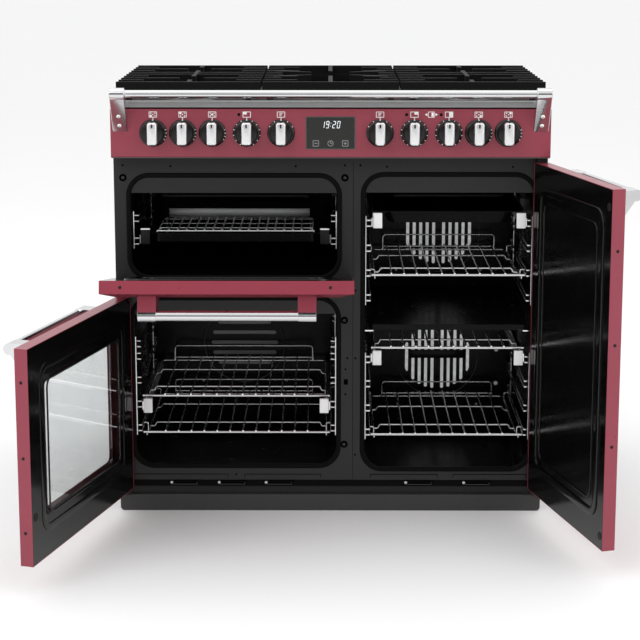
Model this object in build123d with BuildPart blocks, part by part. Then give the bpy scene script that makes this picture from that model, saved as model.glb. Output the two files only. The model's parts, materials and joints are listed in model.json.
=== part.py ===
"""Freestanding gas range, 90 cm wide, with five burners and three ovens.

Frame: x to the right, y to the rear, z up, millimetres. The origin is on the floor, at the
middle of the width, in the front plane of the plinth. The three doors are modelled open.
"""

from math import cos, radians, sin
import os

from build123d import *

os.makedirs("parts", exist_ok=True)

# ---------------------------------------------------------------- driving dimensions
HALF_WIDTH = 450.0
BODY_BACK = 560.0
PLINTH_TOP = 36.0
RECESS_TOP = 55.0
FRAME_BOTTOM = 69.0
FRAME_TOP = 868.0
FASCIA_BOTTOM = 769.0
FASCIA_TOP = 869.0
FASCIA_FRONT = -38.6
HOB_BOTTOM = 872.0
HOB_TOP = 886.0
WELL_FLOOR = 880.0
SUPPORT_TOP = 922.0
SHEET = 1.5
FRAME_SHEET = 2.0
LINER_SHEET = 1.2
LINER_BACK = 402.0
CORNER = 38.0
GASKET_WIDTH = 10.0
GASKET_HEIGHT = 3.5

# each oven: left, right and bottom of the hole in the frame, ceiling, top of the gasket ring,
# middle and half width of the liner
OVENS = {
    "top": {"left": -415.0, "right": 14.0, "bottom": 515.0, "ceiling": 690.0, "ring": 722.0,
            "middle": -200.0, "half": 222.0},
    "left": {"left": -413.0, "right": 12.5, "bottom": 105.0, "ceiling": 433.0, "ring": 461.5,
             "middle": -201.0, "half": 222.0},
    "right": {"left": 73.0, "right": 421.0, "bottom": 98.0, "ceiling": 691.0, "ring": 724.0,
              "middle": 249.0, "half": 184.0},
}

KNOB_PLACES = (-362.5, -302.0, -241.5, -171.0, -101.0, 101.0, 171.0, 241.5, 302.0, 362.5)
KNOB_HEIGHT = 820.0
KNOB_GAP = 0.5
SHAFT_RADIUS = 4.0
PIN_RADIUS = 4.0
RUNNING_FIT = 0.05

# doors: the pivot, how far it stands open, and the edges measured from the pivot
DOOR_BACK_PLANE = -5.0
DOOR_EDGE_PLANE = -31.0
DOOR_FACE_PLANE = -38.0
BEVEL = 30.0
DOOR_SHEET = 1.2
TOP_PIVOT = (-22.0, 497.0)
LEFT_PIVOT = (-434.0, -19.0)
RIGHT_PIVOT = (435.0, -18.5)
TOP_OPEN = 79.8
LEFT_OPEN = 106.3
RIGHT_OPEN = 104.9
LEFT_COLUMN_EDGES = (-449.0, 46.0)
RIGHT_COLUMN_EDGES = (49.5, 449.0)
LOW_DOOR_BOTTOM = 55.0
LEFT_DOOR_TOP = 474.0
TOP_DOOR_BOTTOM = 477.0
HIGH_DOOR_TOP = 757.0
HANDLE_DROP = 22.0
HANDLE_RADIUS = 10.25
COLLAR_RADIUS = 11.5
COLLAR_LENGTH = 36.0

RAIL_Y = -79.0
RAIL_HEIGHT = 903.0
RAIL_HALF_LENGTH = 446.0

BURNERS = ((-291.5, 88.0), (-291.5, 308.0), (291.5, 88.0), (291.5, 308.0))
WOK = (0.0, 198.0)
SUPPORT_FRONT = -15.0
SUPPORT_PITCH = 47.0
SUPPORT_BARS = 10

WIRE_FRONT = 20.0
WIRE_BACK = 382.0
PAIR_GAP = 12.5
RIGHT_LADDER_STARTS = (163.0, 457.0)
RIGHT_LADDER_PITCH = 53.3
LEFT_LADDER_PAIRS = (172.0, 224.5, 277.5, 330.0, 357.0)
TOP_LADDER_PAIRS = (578.0, 626.5)
RIGHT_SHELVES = {"upper": 510.5, "middle": 352.6, "lower": 161.0}
LEFT_SHELVES = {"upper": 247.0, "lower": 166.0}


def front_plane(y):
    """A sketch plane facing the front at depth y, with x to the right and its own y up."""
    return Plane(origin=(0, y, 0), x_dir=(1, 0, 0), z_dir=(0, -1, 0))


def box_between(low, high):
    """Add a box from its low corner to its high corner to the builder in use."""
    size = [b - a for a, b in zip(low, high)]
    middle = tuple((a + b) / 2 for a, b in zip(low, high))
    with Locations(middle):
        Box(*size)


def cut_box(low, high):
    """Cut a box from its low corner to its high corner out of the builder in use."""
    size = [b - a for a, b in zip(low, high)]
    middle = tuple((a + b) / 2 for a, b in zip(low, high))
    with Locations(middle):
        Box(*size, mode=Mode.SUBTRACT)


def rod(start, end, radius):
    """Add a straight round rod between two points to the builder in use."""
    direction = Vector(*end) - Vector(*start)
    with BuildSketch(Plane(origin=start, z_dir=direction)) as section:
        Circle(radius)
    extrude(section.sketch, amount=direction.length)


def bent_rod(points, bends, radius):
    """Add a round wire through the points, with a bend radius at each inner point."""
    with BuildLine() as route:
        FilletPolyline(*points, radius=bends)
    direction = Vector(*points[1]) - Vector(*points[0])
    with BuildSketch(Plane(origin=points[0], z_dir=direction)) as section:
        Circle(radius)
    sweep(section.sketch, path=route.line)


# ---------------------------------------------------------------- base
with BuildPart() as plinth:
    box_between((-HALF_WIDTH, 0, 0), (HALF_WIDTH, 16, PLINTH_TOP))
    low_corners = plinth.edges().filter_by(Axis.Y).group_by(Axis.Z)[0]
    fillet(low_corners, radius=9)
    for side in (-1, 1):
        inner, outer = sorted((side * (HALF_WIDTH - 16), side * HALF_WIDTH))
        box_between((inner, 15.9, 9), (outer, 540, PLINTH_TOP))
plinth.part.label = "plinth"
export_step(plinth.part, "parts/plinth.step")

FOOT_PLACES = [(x, y) for x in (-400, 400) for y in (70, 500)]
with BuildPart() as leveling_feet:
    with BuildSketch(Plane.XY):
        with Locations(*FOOT_PLACES):
            Circle(19)
    extrude(amount=7)
    fillet(leveling_feet.edges().group_by(Axis.Z)[-1], radius=2.5)
    with BuildSketch(Plane.XY.offset(7)):
        with Locations(*FOOT_PLACES):
            RegularPolygon(radius=10, side_count=6)
    extrude(amount=8)
    with BuildSketch(Plane.XY.offset(15)):
        with Locations(*FOOT_PLACES):
            Circle(5)
    extrude(amount=RECESS_TOP - 15)
leveling_feet.part.label = "leveling_feet"
export_step(leveling_feet.part, "parts/leveling_feet.step")

with BuildPart() as base_tray:
    box_between((-448, 12, RECESS_TOP), (448, 558, RECESS_TOP + SHEET))
    box_between((-448, 12, PLINTH_TOP), (448, 12 + SHEET, RECESS_TOP))
    box_between((-448, 558 - SHEET, PLINTH_TOP), (448, 558, RECESS_TOP))
    with BuildSketch(Plane.XY.offset(RECESS_TOP)):
        with GridLocations(180, 150, 4, 3):
            with Locations((0, 285)):
                SlotOverall(70, 12)
    extrude(amount=SHEET, mode=Mode.SUBTRACT)
base_tray.part.label = "base_tray"
export_step(base_tray.part, "parts/base_tray.step")

# ---------------------------------------------------------------- case
for name, side in (("side_panel_left", -1), ("side_panel_right", 1)):
    with BuildPart() as side_panel:
        with BuildSketch(Plane.XY.offset(PLINTH_TOP)):
            with BuildLine():
                x_out = side * HALF_WIDTH
                x_in = side * (HALF_WIDTH - SHEET)
                x_lip = side * (HALF_WIDTH - 14)
                y_front = FRAME_SHEET
                y_rear = BODY_BACK - SHEET
                Polyline((x_out, y_front), (x_lip, y_front), (x_lip, y_front + SHEET),
                         (x_in, y_front + SHEET), (x_in, y_rear - SHEET),
                         (x_lip, y_rear - SHEET), (x_lip, y_rear), (x_out, y_rear), close=True)
            make_face()
        extrude(amount=HOB_BOTTOM - PLINTH_TOP)
        cut_box((-448.4, 0, PLINTH_TOP - 1), (448.4, BODY_BACK, RECESS_TOP + SHEET + 0.2))
    side_panel.part.label = name
    export_step(side_panel.part, f"parts/{name}.step")

INLET_PLACE = (-392.0, 700.0)
INLET_RADIUS = 10.5
with BuildPart() as back_panel:
    box_between((-HALF_WIDTH, BODY_BACK - SHEET, PLINTH_TOP), (HALF_WIDTH, BODY_BACK, HOB_BOTTOM))
    with BuildSketch(front_plane(BODY_BACK)):
        for middle in (-200, 249):
            for height in (170, 600):
                with Locations((middle, height)):
                    with GridLocations(0, 16, 1, 7):
                        SlotOverall(150, 6)
        with Locations(INLET_PLACE):
            Circle(INLET_RADIUS + 1.5)
    extrude(amount=SHEET, mode=Mode.SUBTRACT)
    with BuildSketch(front_plane(BODY_BACK)):
        with Locations((0, 810)):
            with GridLocations(100, 0, 8, 1):
                SlotOverall(70, 9)
    extrude(amount=SHEET, mode=Mode.SUBTRACT)
back_panel.part.label = "back_panel"
export_step(back_panel.part, "parts/back_panel.step")

with BuildPart() as gas_inlet:
    with BuildSketch(Plane(origin=(INLET_PLACE[0], 500, INLET_PLACE[1]), z_dir=(0, 1, 0))):
        Circle(INLET_RADIUS)
        Circle(8, mode=Mode.SUBTRACT)
    extrude(amount=BODY_BACK + 18 - 500)
    with BuildSketch(Plane(origin=(INLET_PLACE[0], BODY_BACK, INLET_PLACE[1]), z_dir=(0, 1, 0))):
        RegularPolygon(radius=16, side_count=6)
        Circle(8, mode=Mode.SUBTRACT)
    extrude(amount=4)
    rod((INLET_PLACE[0], 508, INLET_PLACE[1]), (INLET_PLACE[0], 508, 840), INLET_RADIUS)
    rod((-392, 508, 832), (392, 508, 832), 8)
gas_inlet.part.label = "gas_inlet"
export_step(gas_inlet.part, "parts/gas_inlet.step")


def oven_hole(oven):
    """Sketch the hole of one oven: square at the ceiling and round at the bottom corners."""
    left, right, bottom, ceiling = (oven[k] for k in ("left", "right", "bottom", "ceiling"))
    with BuildLine() as outline:
        Line((left, ceiling), (left, bottom + CORNER))
        RadiusArc((left, bottom + CORNER), (left + CORNER, bottom), -CORNER)
        Line((left + CORNER, bottom), (right - CORNER, bottom))
        RadiusArc((right - CORNER, bottom), (right, bottom + CORNER), -CORNER)
        Line((right, bottom + CORNER), (right, ceiling))
        Line((right, ceiling), (left, ceiling))
    make_face(outline.edges())


with BuildPart() as front_frame:
    with BuildSketch(front_plane(FRAME_SHEET)):
        with Locations((0, (FRAME_BOTTOM + FRAME_TOP) / 2)):
            Rectangle(2 * HALF_WIDTH, FRAME_TOP - FRAME_BOTTOM)
    extrude(amount=FRAME_SHEET)
    for oven in OVENS.values():
        with BuildSketch(front_plane(FRAME_SHEET)):
            oven_hole(oven)
        extrude(amount=FRAME_SHEET, mode=Mode.SUBTRACT)
front_frame.part.label = "front_frame"
export_step(front_frame.part, "parts/front_frame.step")

LOUVRES = (-311.0, -209.5, -109.0, 189.5, 313.5)
with BuildPart() as lower_rail:
    box_between((-HALF_WIDTH, 0, RECESS_TOP), (HALF_WIDTH, SHEET, FRAME_BOTTOM - 0.8))
    box_between((-446, 0, RECESS_TOP), (446, 11.8, RECESS_TOP + 1.2))
    with BuildSketch(front_plane(SHEET)):
        with Locations(*[(x, 62.0) for x in LOUVRES]):
            SlotOverall(60, 7)
    extrude(amount=SHEET, mode=Mode.SUBTRACT)
    with BuildSketch(front_plane(SHEET)):
        with Locations(*[(x, 66.2) for x in LOUVRES]):
            Rectangle(62, 1.4)
    extrude(amount=6)
lower_rail.part.label = "lower_rail"
export_step(lower_rail.part, "parts/lower_rail.step")

with BuildPart() as door_gaskets:
    for oven in OVENS.values():
        width = oven["right"] - oven["left"]
        height = oven["ring"] - oven["bottom"]
        middle = ((oven["left"] + oven["right"]) / 2, (oven["bottom"] + oven["ring"]) / 2)
        with BuildSketch(front_plane(0)):
            with Locations(middle):
                RectangleRounded(width + 2 * GASKET_WIDTH, height + 2 * GASKET_WIDTH,
                                 CORNER + GASKET_WIDTH)
                RectangleRounded(width, height, CORNER, mode=Mode.SUBTRACT)
        extrude(amount=GASKET_HEIGHT)
    fillet(door_gaskets.edges().group_by(Axis.Y)[0], radius=3)
door_gaskets.part.label = "door_gaskets"
export_step(door_gaskets.part, "parts/door_gaskets.step")

for name, oven in OVENS.items():
    floor = oven["bottom"] - 9
    with BuildPart() as liner:
        box_between((oven["middle"] - oven["half"], FRAME_SHEET, floor),
                    (oven["middle"] + oven["half"], LINER_BACK, oven["ceiling"]))
        fillet(liner.edges().filter_by(Axis.Y).group_by(Axis.Z)[0], radius=24)
        mouth = liner.faces().sort_by(Axis.Y)[0]
        offset(amount=LINER_SHEET, openings=mouth, kind=Kind.INTERSECTION)
        cut_box((-HALF_WIDTH, -20, 0), (HALF_WIDTH, FRAME_SHEET, HOB_TOP))
    liner.part.label = f"liner_{name}"
    export_step(liner.part, f"parts/liner_{name}.step")

# ---------------------------------------------------------------- hob
RIM = 20.0
HOB_FRONT = FASCIA_FRONT
with BuildPart() as hob_plate:
    box_between((-HALF_WIDTH, HOB_FRONT, HOB_BOTTOM), (HALF_WIDTH, BODY_BACK, HOB_TOP))
    fillet(hob_plate.edges().group_by(Axis.Z)[-1], radius=2.5)
    box_low, box_high = HOB_FRONT + RIM, BODY_BACK - RIM
    with BuildSketch(Plane.XY.offset(HOB_TOP)):
        with Locations((0, (box_low + box_high) / 2)):
            RectangleRounded(2 * (HALF_WIDTH - RIM), box_high - box_low, 18)
    extrude(amount=WELL_FLOOR - HOB_TOP, taper=30, mode=Mode.SUBTRACT)
    cut_box((-HALF_WIDTH + SHEET, HOB_FRONT + SHEET, HOB_BOTTOM - 1),
            (HALF_WIDTH - SHEET, BODY_BACK - SHEET, WELL_FLOOR - SHEET))
    with BuildSketch(Plane.XY.offset(HOB_BOTTOM)):
        with Locations(*BURNERS):
            Circle(24)
        with Locations(WOK):
            Circle(40)
    extrude(amount=HOB_TOP - HOB_BOTTOM, mode=Mode.SUBTRACT)
hob_plate.part.label = "hob_plate"
export_step(hob_plate.part, "parts/hob_plate.step")

with BuildPart() as burner_crowns:
    with BuildSketch(Plane.XY.offset(WELL_FLOOR)):
        with Locations(*BURNERS):
            Circle(36)
            Circle(15, mode=Mode.SUBTRACT)
        with Locations(WOK):
            Circle(60)
            Circle(20, mode=Mode.SUBTRACT)
    extrude(amount=4)
    with BuildSketch(Plane.XY.offset(WELL_FLOOR + 4)):
        with Locations(*BURNERS):
            Circle(29)
            Circle(15, mode=Mode.SUBTRACT)
        with Locations(WOK):
            Circle(52)
            Circle(20, mode=Mode.SUBTRACT)
    extrude(amount=9)
    with BuildSketch(Plane.XY.offset(WELL_FLOOR)):
        with Locations(*BURNERS):
            Circle(22)
            Circle(15, mode=Mode.SUBTRACT)
        with Locations(WOK):
            Circle(38)
            Circle(20, mode=Mode.SUBTRACT)
    extrude(amount=-22)
    for burner, ring in [(place, 29) for place in BURNERS] + [(WOK, 52)]:
        with BuildSketch(Plane.XY.offset(WELL_FLOOR + 8)):
            with Locations(burner):
                with PolarLocations(ring, 16 if ring < 40 else 24):
                    Rectangle(6, 2)
        extrude(amount=5, mode=Mode.SUBTRACT)
burner_crowns.part.label = "burner_crowns"
export_step(burner_crowns.part, "parts/burner_crowns.step")

CAP_HEIGHT = WELL_FLOOR + 13
with BuildPart() as burner_caps:
    with BuildSketch(Plane.XY.offset(CAP_HEIGHT)):
        with Locations(*BURNERS):
            Circle(31)
        with Locations(WOK):
            Circle(56)
            Circle(26, mode=Mode.SUBTRACT)
            Circle(22)
    extrude(amount=6)
    fillet(burner_caps.edges().group_by(Axis.Z)[-1], radius=2.5)
burner_caps.part.label = "burner_caps"
export_step(burner_caps.part, "parts/burner_caps.step")

BAR_WIDTH = 9.0
BAR_HEIGHT = 17.0
SUPPORT_BACK = SUPPORT_FRONT + SUPPORT_PITCH * (SUPPORT_BARS - 1)
FULL_BARS = (0, 4, 5, 9)
LONG_BARS = (2, 7)
LONG_BAR_GAP = 26.0
STUB = 52.0
SPINE_SPANS = ((0, 1), (3, 6), (8, 9))


def bar_ends(index, low, high):
    """Where a bar's left part ends and its right part starts: full, long or a stub."""
    middle = (low + high) / 2
    if index in FULL_BARS:
        return middle, middle
    if index in LONG_BARS:
        return middle - LONG_BAR_GAP, middle + LONG_BAR_GAP
    return low + STUB, high - STUB


for name, low, high in (("left", -440.0, -143.5), ("right", 143.5, 440.0)):
    centre = (low + high) / 2
    with BuildPart() as pan_support:
        base = SUPPORT_TOP - BAR_HEIGHT
        for index in range(SUPPORT_BARS):
            y = SUPPORT_FRONT + index * SUPPORT_PITCH
            left_end, right_end = bar_ends(index, low, high)
            box_between((low, y, base), (left_end, y + BAR_WIDTH, SUPPORT_TOP))
            box_between((right_end, y, base), (high, y + BAR_WIDTH, SUPPORT_TOP))
        for first, last in SPINE_SPANS:
            box_between((centre - BAR_WIDTH / 2, SUPPORT_FRONT + first * SUPPORT_PITCH, base),
                        (centre + BAR_WIDTH / 2, SUPPORT_FRONT + last * SUPPORT_PITCH + BAR_WIDTH,
                         SUPPORT_TOP))
        for x in (low + 12, high - 12 - BAR_WIDTH):
            box_between((x, SUPPORT_FRONT, SUPPORT_TOP - BAR_HEIGHT),
                        (x + BAR_WIDTH, SUPPORT_BACK + BAR_WIDTH, SUPPORT_TOP - 4))
        for x in (low + 26, high - 26):
            for y in (SUPPORT_FRONT + 12, SUPPORT_BACK):
                rod((x, y, WELL_FLOOR), (x, y, SUPPORT_TOP - BAR_HEIGHT), 6)
    pan_support.part.label = f"pan_support_{name}"
    export_step(pan_support.part, f"parts/pan_support_{name}.step")

WOK_HALF = 140.0
with BuildPart() as pan_support_centre:
    base = SUPPORT_TOP - BAR_HEIGHT
    for y in (SUPPORT_FRONT, SUPPORT_BACK):
        box_between((-WOK_HALF, y, base), (WOK_HALF, y + BAR_WIDTH, SUPPORT_TOP))
    for side in (-1, 1):
        x_low, x_high = sorted((side * (WOK_HALF - 12), side * (WOK_HALF - 12 - BAR_WIDTH)))
        box_between((x_low, SUPPORT_FRONT, base), (x_high, SUPPORT_BACK + 5, SUPPORT_TOP - 4))
        for index in range(1, SUPPORT_BARS - 1):
            y = SUPPORT_FRONT + index * SUPPORT_PITCH
            inner = 70 if index in (1, 3, 6, 8) else 104
            x_low, x_high = sorted((side * inner, side * WOK_HALF))
            box_between((x_low, y, base), (x_high, y + BAR_WIDTH, SUPPORT_TOP))
        for target in (-34, 34):
            with BuildSketch(Plane.XY.offset(base)):
                with BuildLine():
                    y_root = WOK[1] + 2.1 * target
                    Polyline((side * 122, y_root - 9), (side * 42, WOK[1] + target - 3),
                             (side * 42, WOK[1] + target + 3), (side * 122, y_root + 9),
                             close=True)
                make_face()
            extrude(amount=BAR_HEIGHT)
        for y in (SUPPORT_FRONT + 12, SUPPORT_BACK):
            rod((side * 124, y, WELL_FLOOR), (side * 124, y, base), 6)
    for y_low, y_high in ((SUPPORT_FRONT, WOK[1] - 62), (WOK[1] + 62, SUPPORT_BACK)):
        box_between((-BAR_WIDTH / 2, y_low, base), (BAR_WIDTH / 2, y_high, SUPPORT_TOP))
pan_support_centre.part.label = "pan_support_centre"
export_step(pan_support_centre.part, "parts/pan_support_centre.step")

# ---------------------------------------------------------------- fascia, clock, knobs, rail
CLOCK_HALF = 50.0
CLOCK_BOTTOM = 787.0
CLOCK_TOP = 853.0
with BuildPart() as fascia:
    box_between((-HALF_WIDTH, FASCIA_FRONT, FASCIA_BOTTOM), (HALF_WIDTH, 0, FASCIA_TOP))
    fillet(fascia.edges().group_by(Axis.Y)[0].filter_by(Axis.X), radius=3)
    cut_box((-HALF_WIDTH + SHEET, FASCIA_FRONT + SHEET, FASCIA_BOTTOM + SHEET),
            (HALF_WIDTH - SHEET, 1, FASCIA_TOP - SHEET))
    cut_box((-CLOCK_HALF, FASCIA_FRONT - 1, CLOCK_BOTTOM), (CLOCK_HALF, FASCIA_FRONT + 3, CLOCK_TOP))
    with BuildSketch(front_plane(0)):
        with Locations(*[(x, KNOB_HEIGHT) for x in KNOB_PLACES]):
            Circle(SHAFT_RADIUS + RUNNING_FIT)
    extrude(amount=-FASCIA_FRONT + 1, mode=Mode.SUBTRACT)
fascia.part.label = "fascia"
export_step(fascia.part, "parts/fascia.step")

with BuildPart() as clock_display:
    box_between((-CLOCK_HALF, FASCIA_FRONT - 0.6, CLOCK_BOTTOM), (CLOCK_HALF, -12, CLOCK_TOP))
    fillet(clock_display.edges().filter_by(Axis.Y), radius=0.8)
clock_display.part.label = "clock_display"
export_step(clock_display.part, "parts/clock_display.step")

for number, place in enumerate(KNOB_PLACES, start=1):
    seat = Plane(origin=(place, FASCIA_FRONT - KNOB_GAP, KNOB_HEIGHT), x_dir=(1, 0, 0),
                 z_dir=(0, -1, 0))
    with BuildPart() as knob:
        with BuildSketch(seat):
            Circle(28)
        extrude(amount=4)
        with BuildSketch(seat.offset(4)):
            Circle(22.5)
        extrude(amount=11, taper=4)
        fillet(knob.edges().group_by(Axis.Y)[0], radius=2)
        with BuildSketch(seat.offset(4)):
            RectangleRounded(20, 46, 4)
        extrude(amount=26, taper=2)
        with BuildSketch(seat):
            Circle(SHAFT_RADIUS)
        extrude(amount=-18)
    knob.part.label = f"knob_{number}"
    export_step(knob.part, f"parts/knob_{number}.step")

with BuildPart() as towel_rail:
    rod((-RAIL_HALF_LENGTH, RAIL_Y, RAIL_HEIGHT), (RAIL_HALF_LENGTH, RAIL_Y, RAIL_HEIGHT), 8)
    for side in (-1, 1):
        rod((side * RAIL_HALF_LENGTH, RAIL_Y, RAIL_HEIGHT),
            (side * (RAIL_HALF_LENGTH - 32), RAIL_Y, RAIL_HEIGHT), 9.5)
towel_rail.part.label = "towel_rail"
export_step(towel_rail.part, "parts/towel_rail.step")

with BuildPart() as rail_brackets:
    for low in (-RAIL_HALF_LENGTH + 1, RAIL_HALF_LENGTH - 31):
        with BuildSketch(Plane(origin=(low, 0, 0), x_dir=(0, 1, 0), z_dir=(1, 0, 0))):
            with BuildLine():
                Polyline((FASCIA_FRONT, 822), (FASCIA_FRONT, 866), (-66, RAIL_HEIGHT + 6),
                         (RAIL_Y, RAIL_HEIGHT + 12.5), (-91.5, RAIL_HEIGHT),
                         (-86, RAIL_HEIGHT - 11), close=True)
            make_face()
            with Locations((RAIL_Y, RAIL_HEIGHT)):
                Circle(12.5)
                Circle(9.5, mode=Mode.SUBTRACT)
        extrude(amount=30)
rail_brackets.part.label = "rail_brackets"
export_step(rail_brackets.part, "parts/rail_brackets.step")

# ---------------------------------------------------------------- doors
top_turn = radians(TOP_OPEN)
left_turn = radians(LEFT_OPEN)
right_turn = radians(RIGHT_OPEN)

# each door's own plane starts at its pivot: x along its width, y up it, z out of its face
DOORS = {
    "top": {
        "plane": Plane(origin=(0, *TOP_PIVOT), x_dir=(1, 0, 0),
                       z_dir=(0, -cos(top_turn), -sin(top_turn))),
        "left": LEFT_COLUMN_EDGES[0], "right": LEFT_COLUMN_EDGES[1],
        "bottom": TOP_DOOR_BOTTOM - TOP_PIVOT[1], "top": HIGH_DOOR_TOP - TOP_PIVOT[1],
        "pivot_y": TOP_PIVOT[0], "relief": "bottom", "handle": 348.0, "stand_off": 43.0,
    },
    "left": {
        "plane": Plane(origin=(*LEFT_PIVOT, 0), x_dir=(cos(left_turn), -sin(left_turn), 0),
                       z_dir=(-sin(left_turn), -cos(left_turn), 0)),
        "left": LEFT_COLUMN_EDGES[0] - LEFT_PIVOT[0], "right": LEFT_COLUMN_EDGES[1] - LEFT_PIVOT[0],
        "bottom": LOW_DOOR_BOTTOM, "top": LEFT_DOOR_TOP,
        "pivot_y": LEFT_PIVOT[1], "relief": "left", "handle": 348.0, "stand_off": 48.0,
    },
    "right": {
        "plane": Plane(origin=(*RIGHT_PIVOT, 0), x_dir=(cos(right_turn), sin(right_turn), 0),
                       z_dir=(sin(right_turn), -cos(right_turn), 0)),
        "left": RIGHT_COLUMN_EDGES[0] - RIGHT_PIVOT[0],
        "right": RIGHT_COLUMN_EDGES[1] - RIGHT_PIVOT[0],
        "bottom": LOW_DOOR_BOTTOM, "top": HIGH_DOOR_TOP,
        "pivot_y": RIGHT_PIVOT[1], "relief": "right", "handle": 290.0, "stand_off": 48.0,
    },
}
RELIEF = 8.0
WINDOW = {"left": 63.0, "right": 414.0, "bottom": 139.0, "top": 396.0}
INNER_LIP = 5.5


def door_rectangle(door, inset):
    """Sketch the door's outline, drawn in by an inset, in the door's own plane."""
    with Locations(((door["left"] + door["right"]) / 2, (door["bottom"] + door["top"]) / 2)):
        Rectangle(door["right"] - door["left"] - 2 * inset, door["top"] - door["bottom"] - 2 * inset)


def window_rectangle(grow):
    """Sketch the window of the lower left door, in that door's own plane."""
    width = WINDOW["right"] - WINDOW["left"] + 2 * grow
    height = WINDOW["top"] - WINDOW["bottom"] + 2 * grow
    with Locations(((WINDOW["left"] + WINDOW["right"]) / 2, (WINDOW["bottom"] + WINDOW["top"]) / 2)):
        RectangleRounded(width, height, 10 + max(grow, 0) / 2)


def door_depths(door):
    """How far the door's back, edge and face planes stand out from its pivot."""
    return [door["pivot_y"] - y for y in (DOOR_BACK_PLANE, DOOR_EDGE_PLANE, DOOR_FACE_PLANE)]


def tab_notches(door):
    """Sketch the notches, by the hinge pins, that the hinge tabs swing through."""
    if door["relief"] == "bottom":
        with Locations((door["left"] + 16.5, door["bottom"] + 12),
                       (door["right"] - 16.5, door["bottom"] + 12)):
            Rectangle(9, 30)
    else:
        with Locations((door["left"] + 10, door["top"] - 6)):
            Rectangle(23, 8)


for name, door in DOORS.items():
    plane = door["plane"]
    back, edge, face = door_depths(door)
    with BuildPart() as shell:
        with BuildSketch(plane.offset(back)):
            door_rectangle(door, 0)
        extrude(amount=edge - back)
        with BuildSketch(plane.offset(edge)):
            door_rectangle(door, 0)
        with BuildSketch(plane.offset(face)):
            door_rectangle(door, BEVEL)
        loft()
        back_face = shell.faces().sort_by(Axis(plane.origin, plane.z_dir))[0]
        towards_hinge = {"top": -plane.y_dir, "left": -plane.x_dir, "right": plane.x_dir}[name]
        hinge_edge = back_face.edges().sort_by(Axis(plane.origin, towards_hinge))[-1]
        chamfer(hinge_edge, length=RELIEF + (2 if name == "top" else 0))
        mouth = shell.faces().sort_by(Axis(plane.origin, plane.z_dir))[0]
        offset(amount=-DOOR_SHEET, openings=mouth, kind=Kind.INTERSECTION)
        if name == "left":
            with BuildSketch(plane.offset(edge - 4)):
                window_rectangle(6)
            extrude(amount=face - edge + 10, mode=Mode.SUBTRACT)
        if name == "top":
            hole = Plane(origin=plane.from_local_coords((-500, 0, 0)), z_dir=(1, 0, 0))
            reach = 1000
        else:
            hole = Plane(origin=plane.from_local_coords((0, 0, 0)), z_dir=(0, 0, 1))
            reach = 900
        with BuildSketch(hole):
            Circle(PIN_RADIUS + RUNNING_FIT)
        extrude(amount=reach, mode=Mode.SUBTRACT)
        if name != "right":
            with BuildSketch(plane.offset(back - 1)):
                tab_notches(door)
            extrude(amount=1 - back + (8 if name == "left" else 6), mode=Mode.SUBTRACT)
    shell.part.label = f"door_{name}_shell"
    export_step(shell.part, f"parts/door_{name}_shell.step")

    clear = DOOR_SHEET + 0.4
    with BuildPart() as inner:
        with BuildSketch(plane.offset(back)):
            low_x = door["left"] + (RELIEF + 4 if name == "left" else clear)
            high_x = door["right"] - (RELIEF + 4 if name == "right" else clear)
            low_y = door["bottom"] + (RELIEF + 6 if name == "top" else clear)
            high_y = door["top"] - clear
            with Locations(((low_x + high_x) / 2, (low_y + high_y) / 2)):
                Rectangle(high_x - low_x, high_y - low_y)
        extrude(amount=SHEET)
        with BuildSketch(plane.offset(back + SHEET)):
            with Locations(((low_x + high_x) / 2, (low_y + high_y) / 2)):
                Rectangle(high_x - low_x, high_y - low_y)
                Rectangle(high_x - low_x - 2 * SHEET, high_y - low_y - 2 * SHEET, mode=Mode.SUBTRACT)
        extrude(amount=INNER_LIP)
        if name == "left":
            with BuildSketch(plane.offset(back - 1)):
                window_rectangle(0)
            extrude(amount=20, mode=Mode.SUBTRACT)
        if name != "right":
            with BuildSketch(plane.offset(back - 1)):
                tab_notches(door)
            extrude(amount=20, mode=Mode.SUBTRACT)
    inner.part.label = f"door_{name}_inner"
    export_step(inner.part, f"parts/door_{name}_inner.step")

    bar_y = door["top"] - HANDLE_DROP
    bar_z = edge + door["stand_off"]
    middle = (door["left"] + door["right"]) / 2
    ends = (middle - door["handle"] / 2, middle + door["handle"] / 2)
    solids = []
    across = Plane(origin=plane.from_local_coords((ends[0], 0, 0)), x_dir=plane.y_dir, z_dir=plane.x_dir)
    with BuildPart() as bar:
        with BuildSketch(across):
            with Locations((bar_y, bar_z)):
                Circle(HANDLE_RADIUS)
        extrude(amount=door["handle"])
    solids.append(bar.part)
    for start in (0, door["handle"] - COLLAR_LENGTH):
        with BuildPart() as bracket:
            with BuildSketch(across.offset(start)):
                with BuildLine():
                    Polyline((door["top"] - 12, edge + (face - edge) * 12 / BEVEL),
                             (door["top"] - BEVEL, face), (door["top"] - 78, face),
                             (door["top"] - 78, face + 5), (bar_y - 11, bar_z - 3),
                             (bar_y + 11, bar_z - 3), close=True)
                make_face()
                with Locations((bar_y, bar_z)):
                    Circle(COLLAR_RADIUS)
                    Circle(HANDLE_RADIUS, mode=Mode.SUBTRACT)
            extrude(amount=COLLAR_LENGTH)
        solids.append(bracket.part)
    handle = Compound(label=f"door_{name}_handle", children=solids)
    export_step(handle, f"parts/door_{name}_handle.step")

glass_plane = DOORS["left"]["plane"]
glass_back, _, glass_face = door_depths(DOORS["left"])
panes = []
for depth in (glass_back + SHEET + 0.1, glass_face - DOOR_SHEET - 4.2):
    with BuildPart() as pane:
        with BuildSketch(glass_plane.offset(depth)):
            window_rectangle(16)
        extrude(amount=4)
    panes.append(pane.part)
door_left_glass = Compound(label="door_left_glass", children=panes)
export_step(door_left_glass, "parts/door_left_glass.step")

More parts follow.
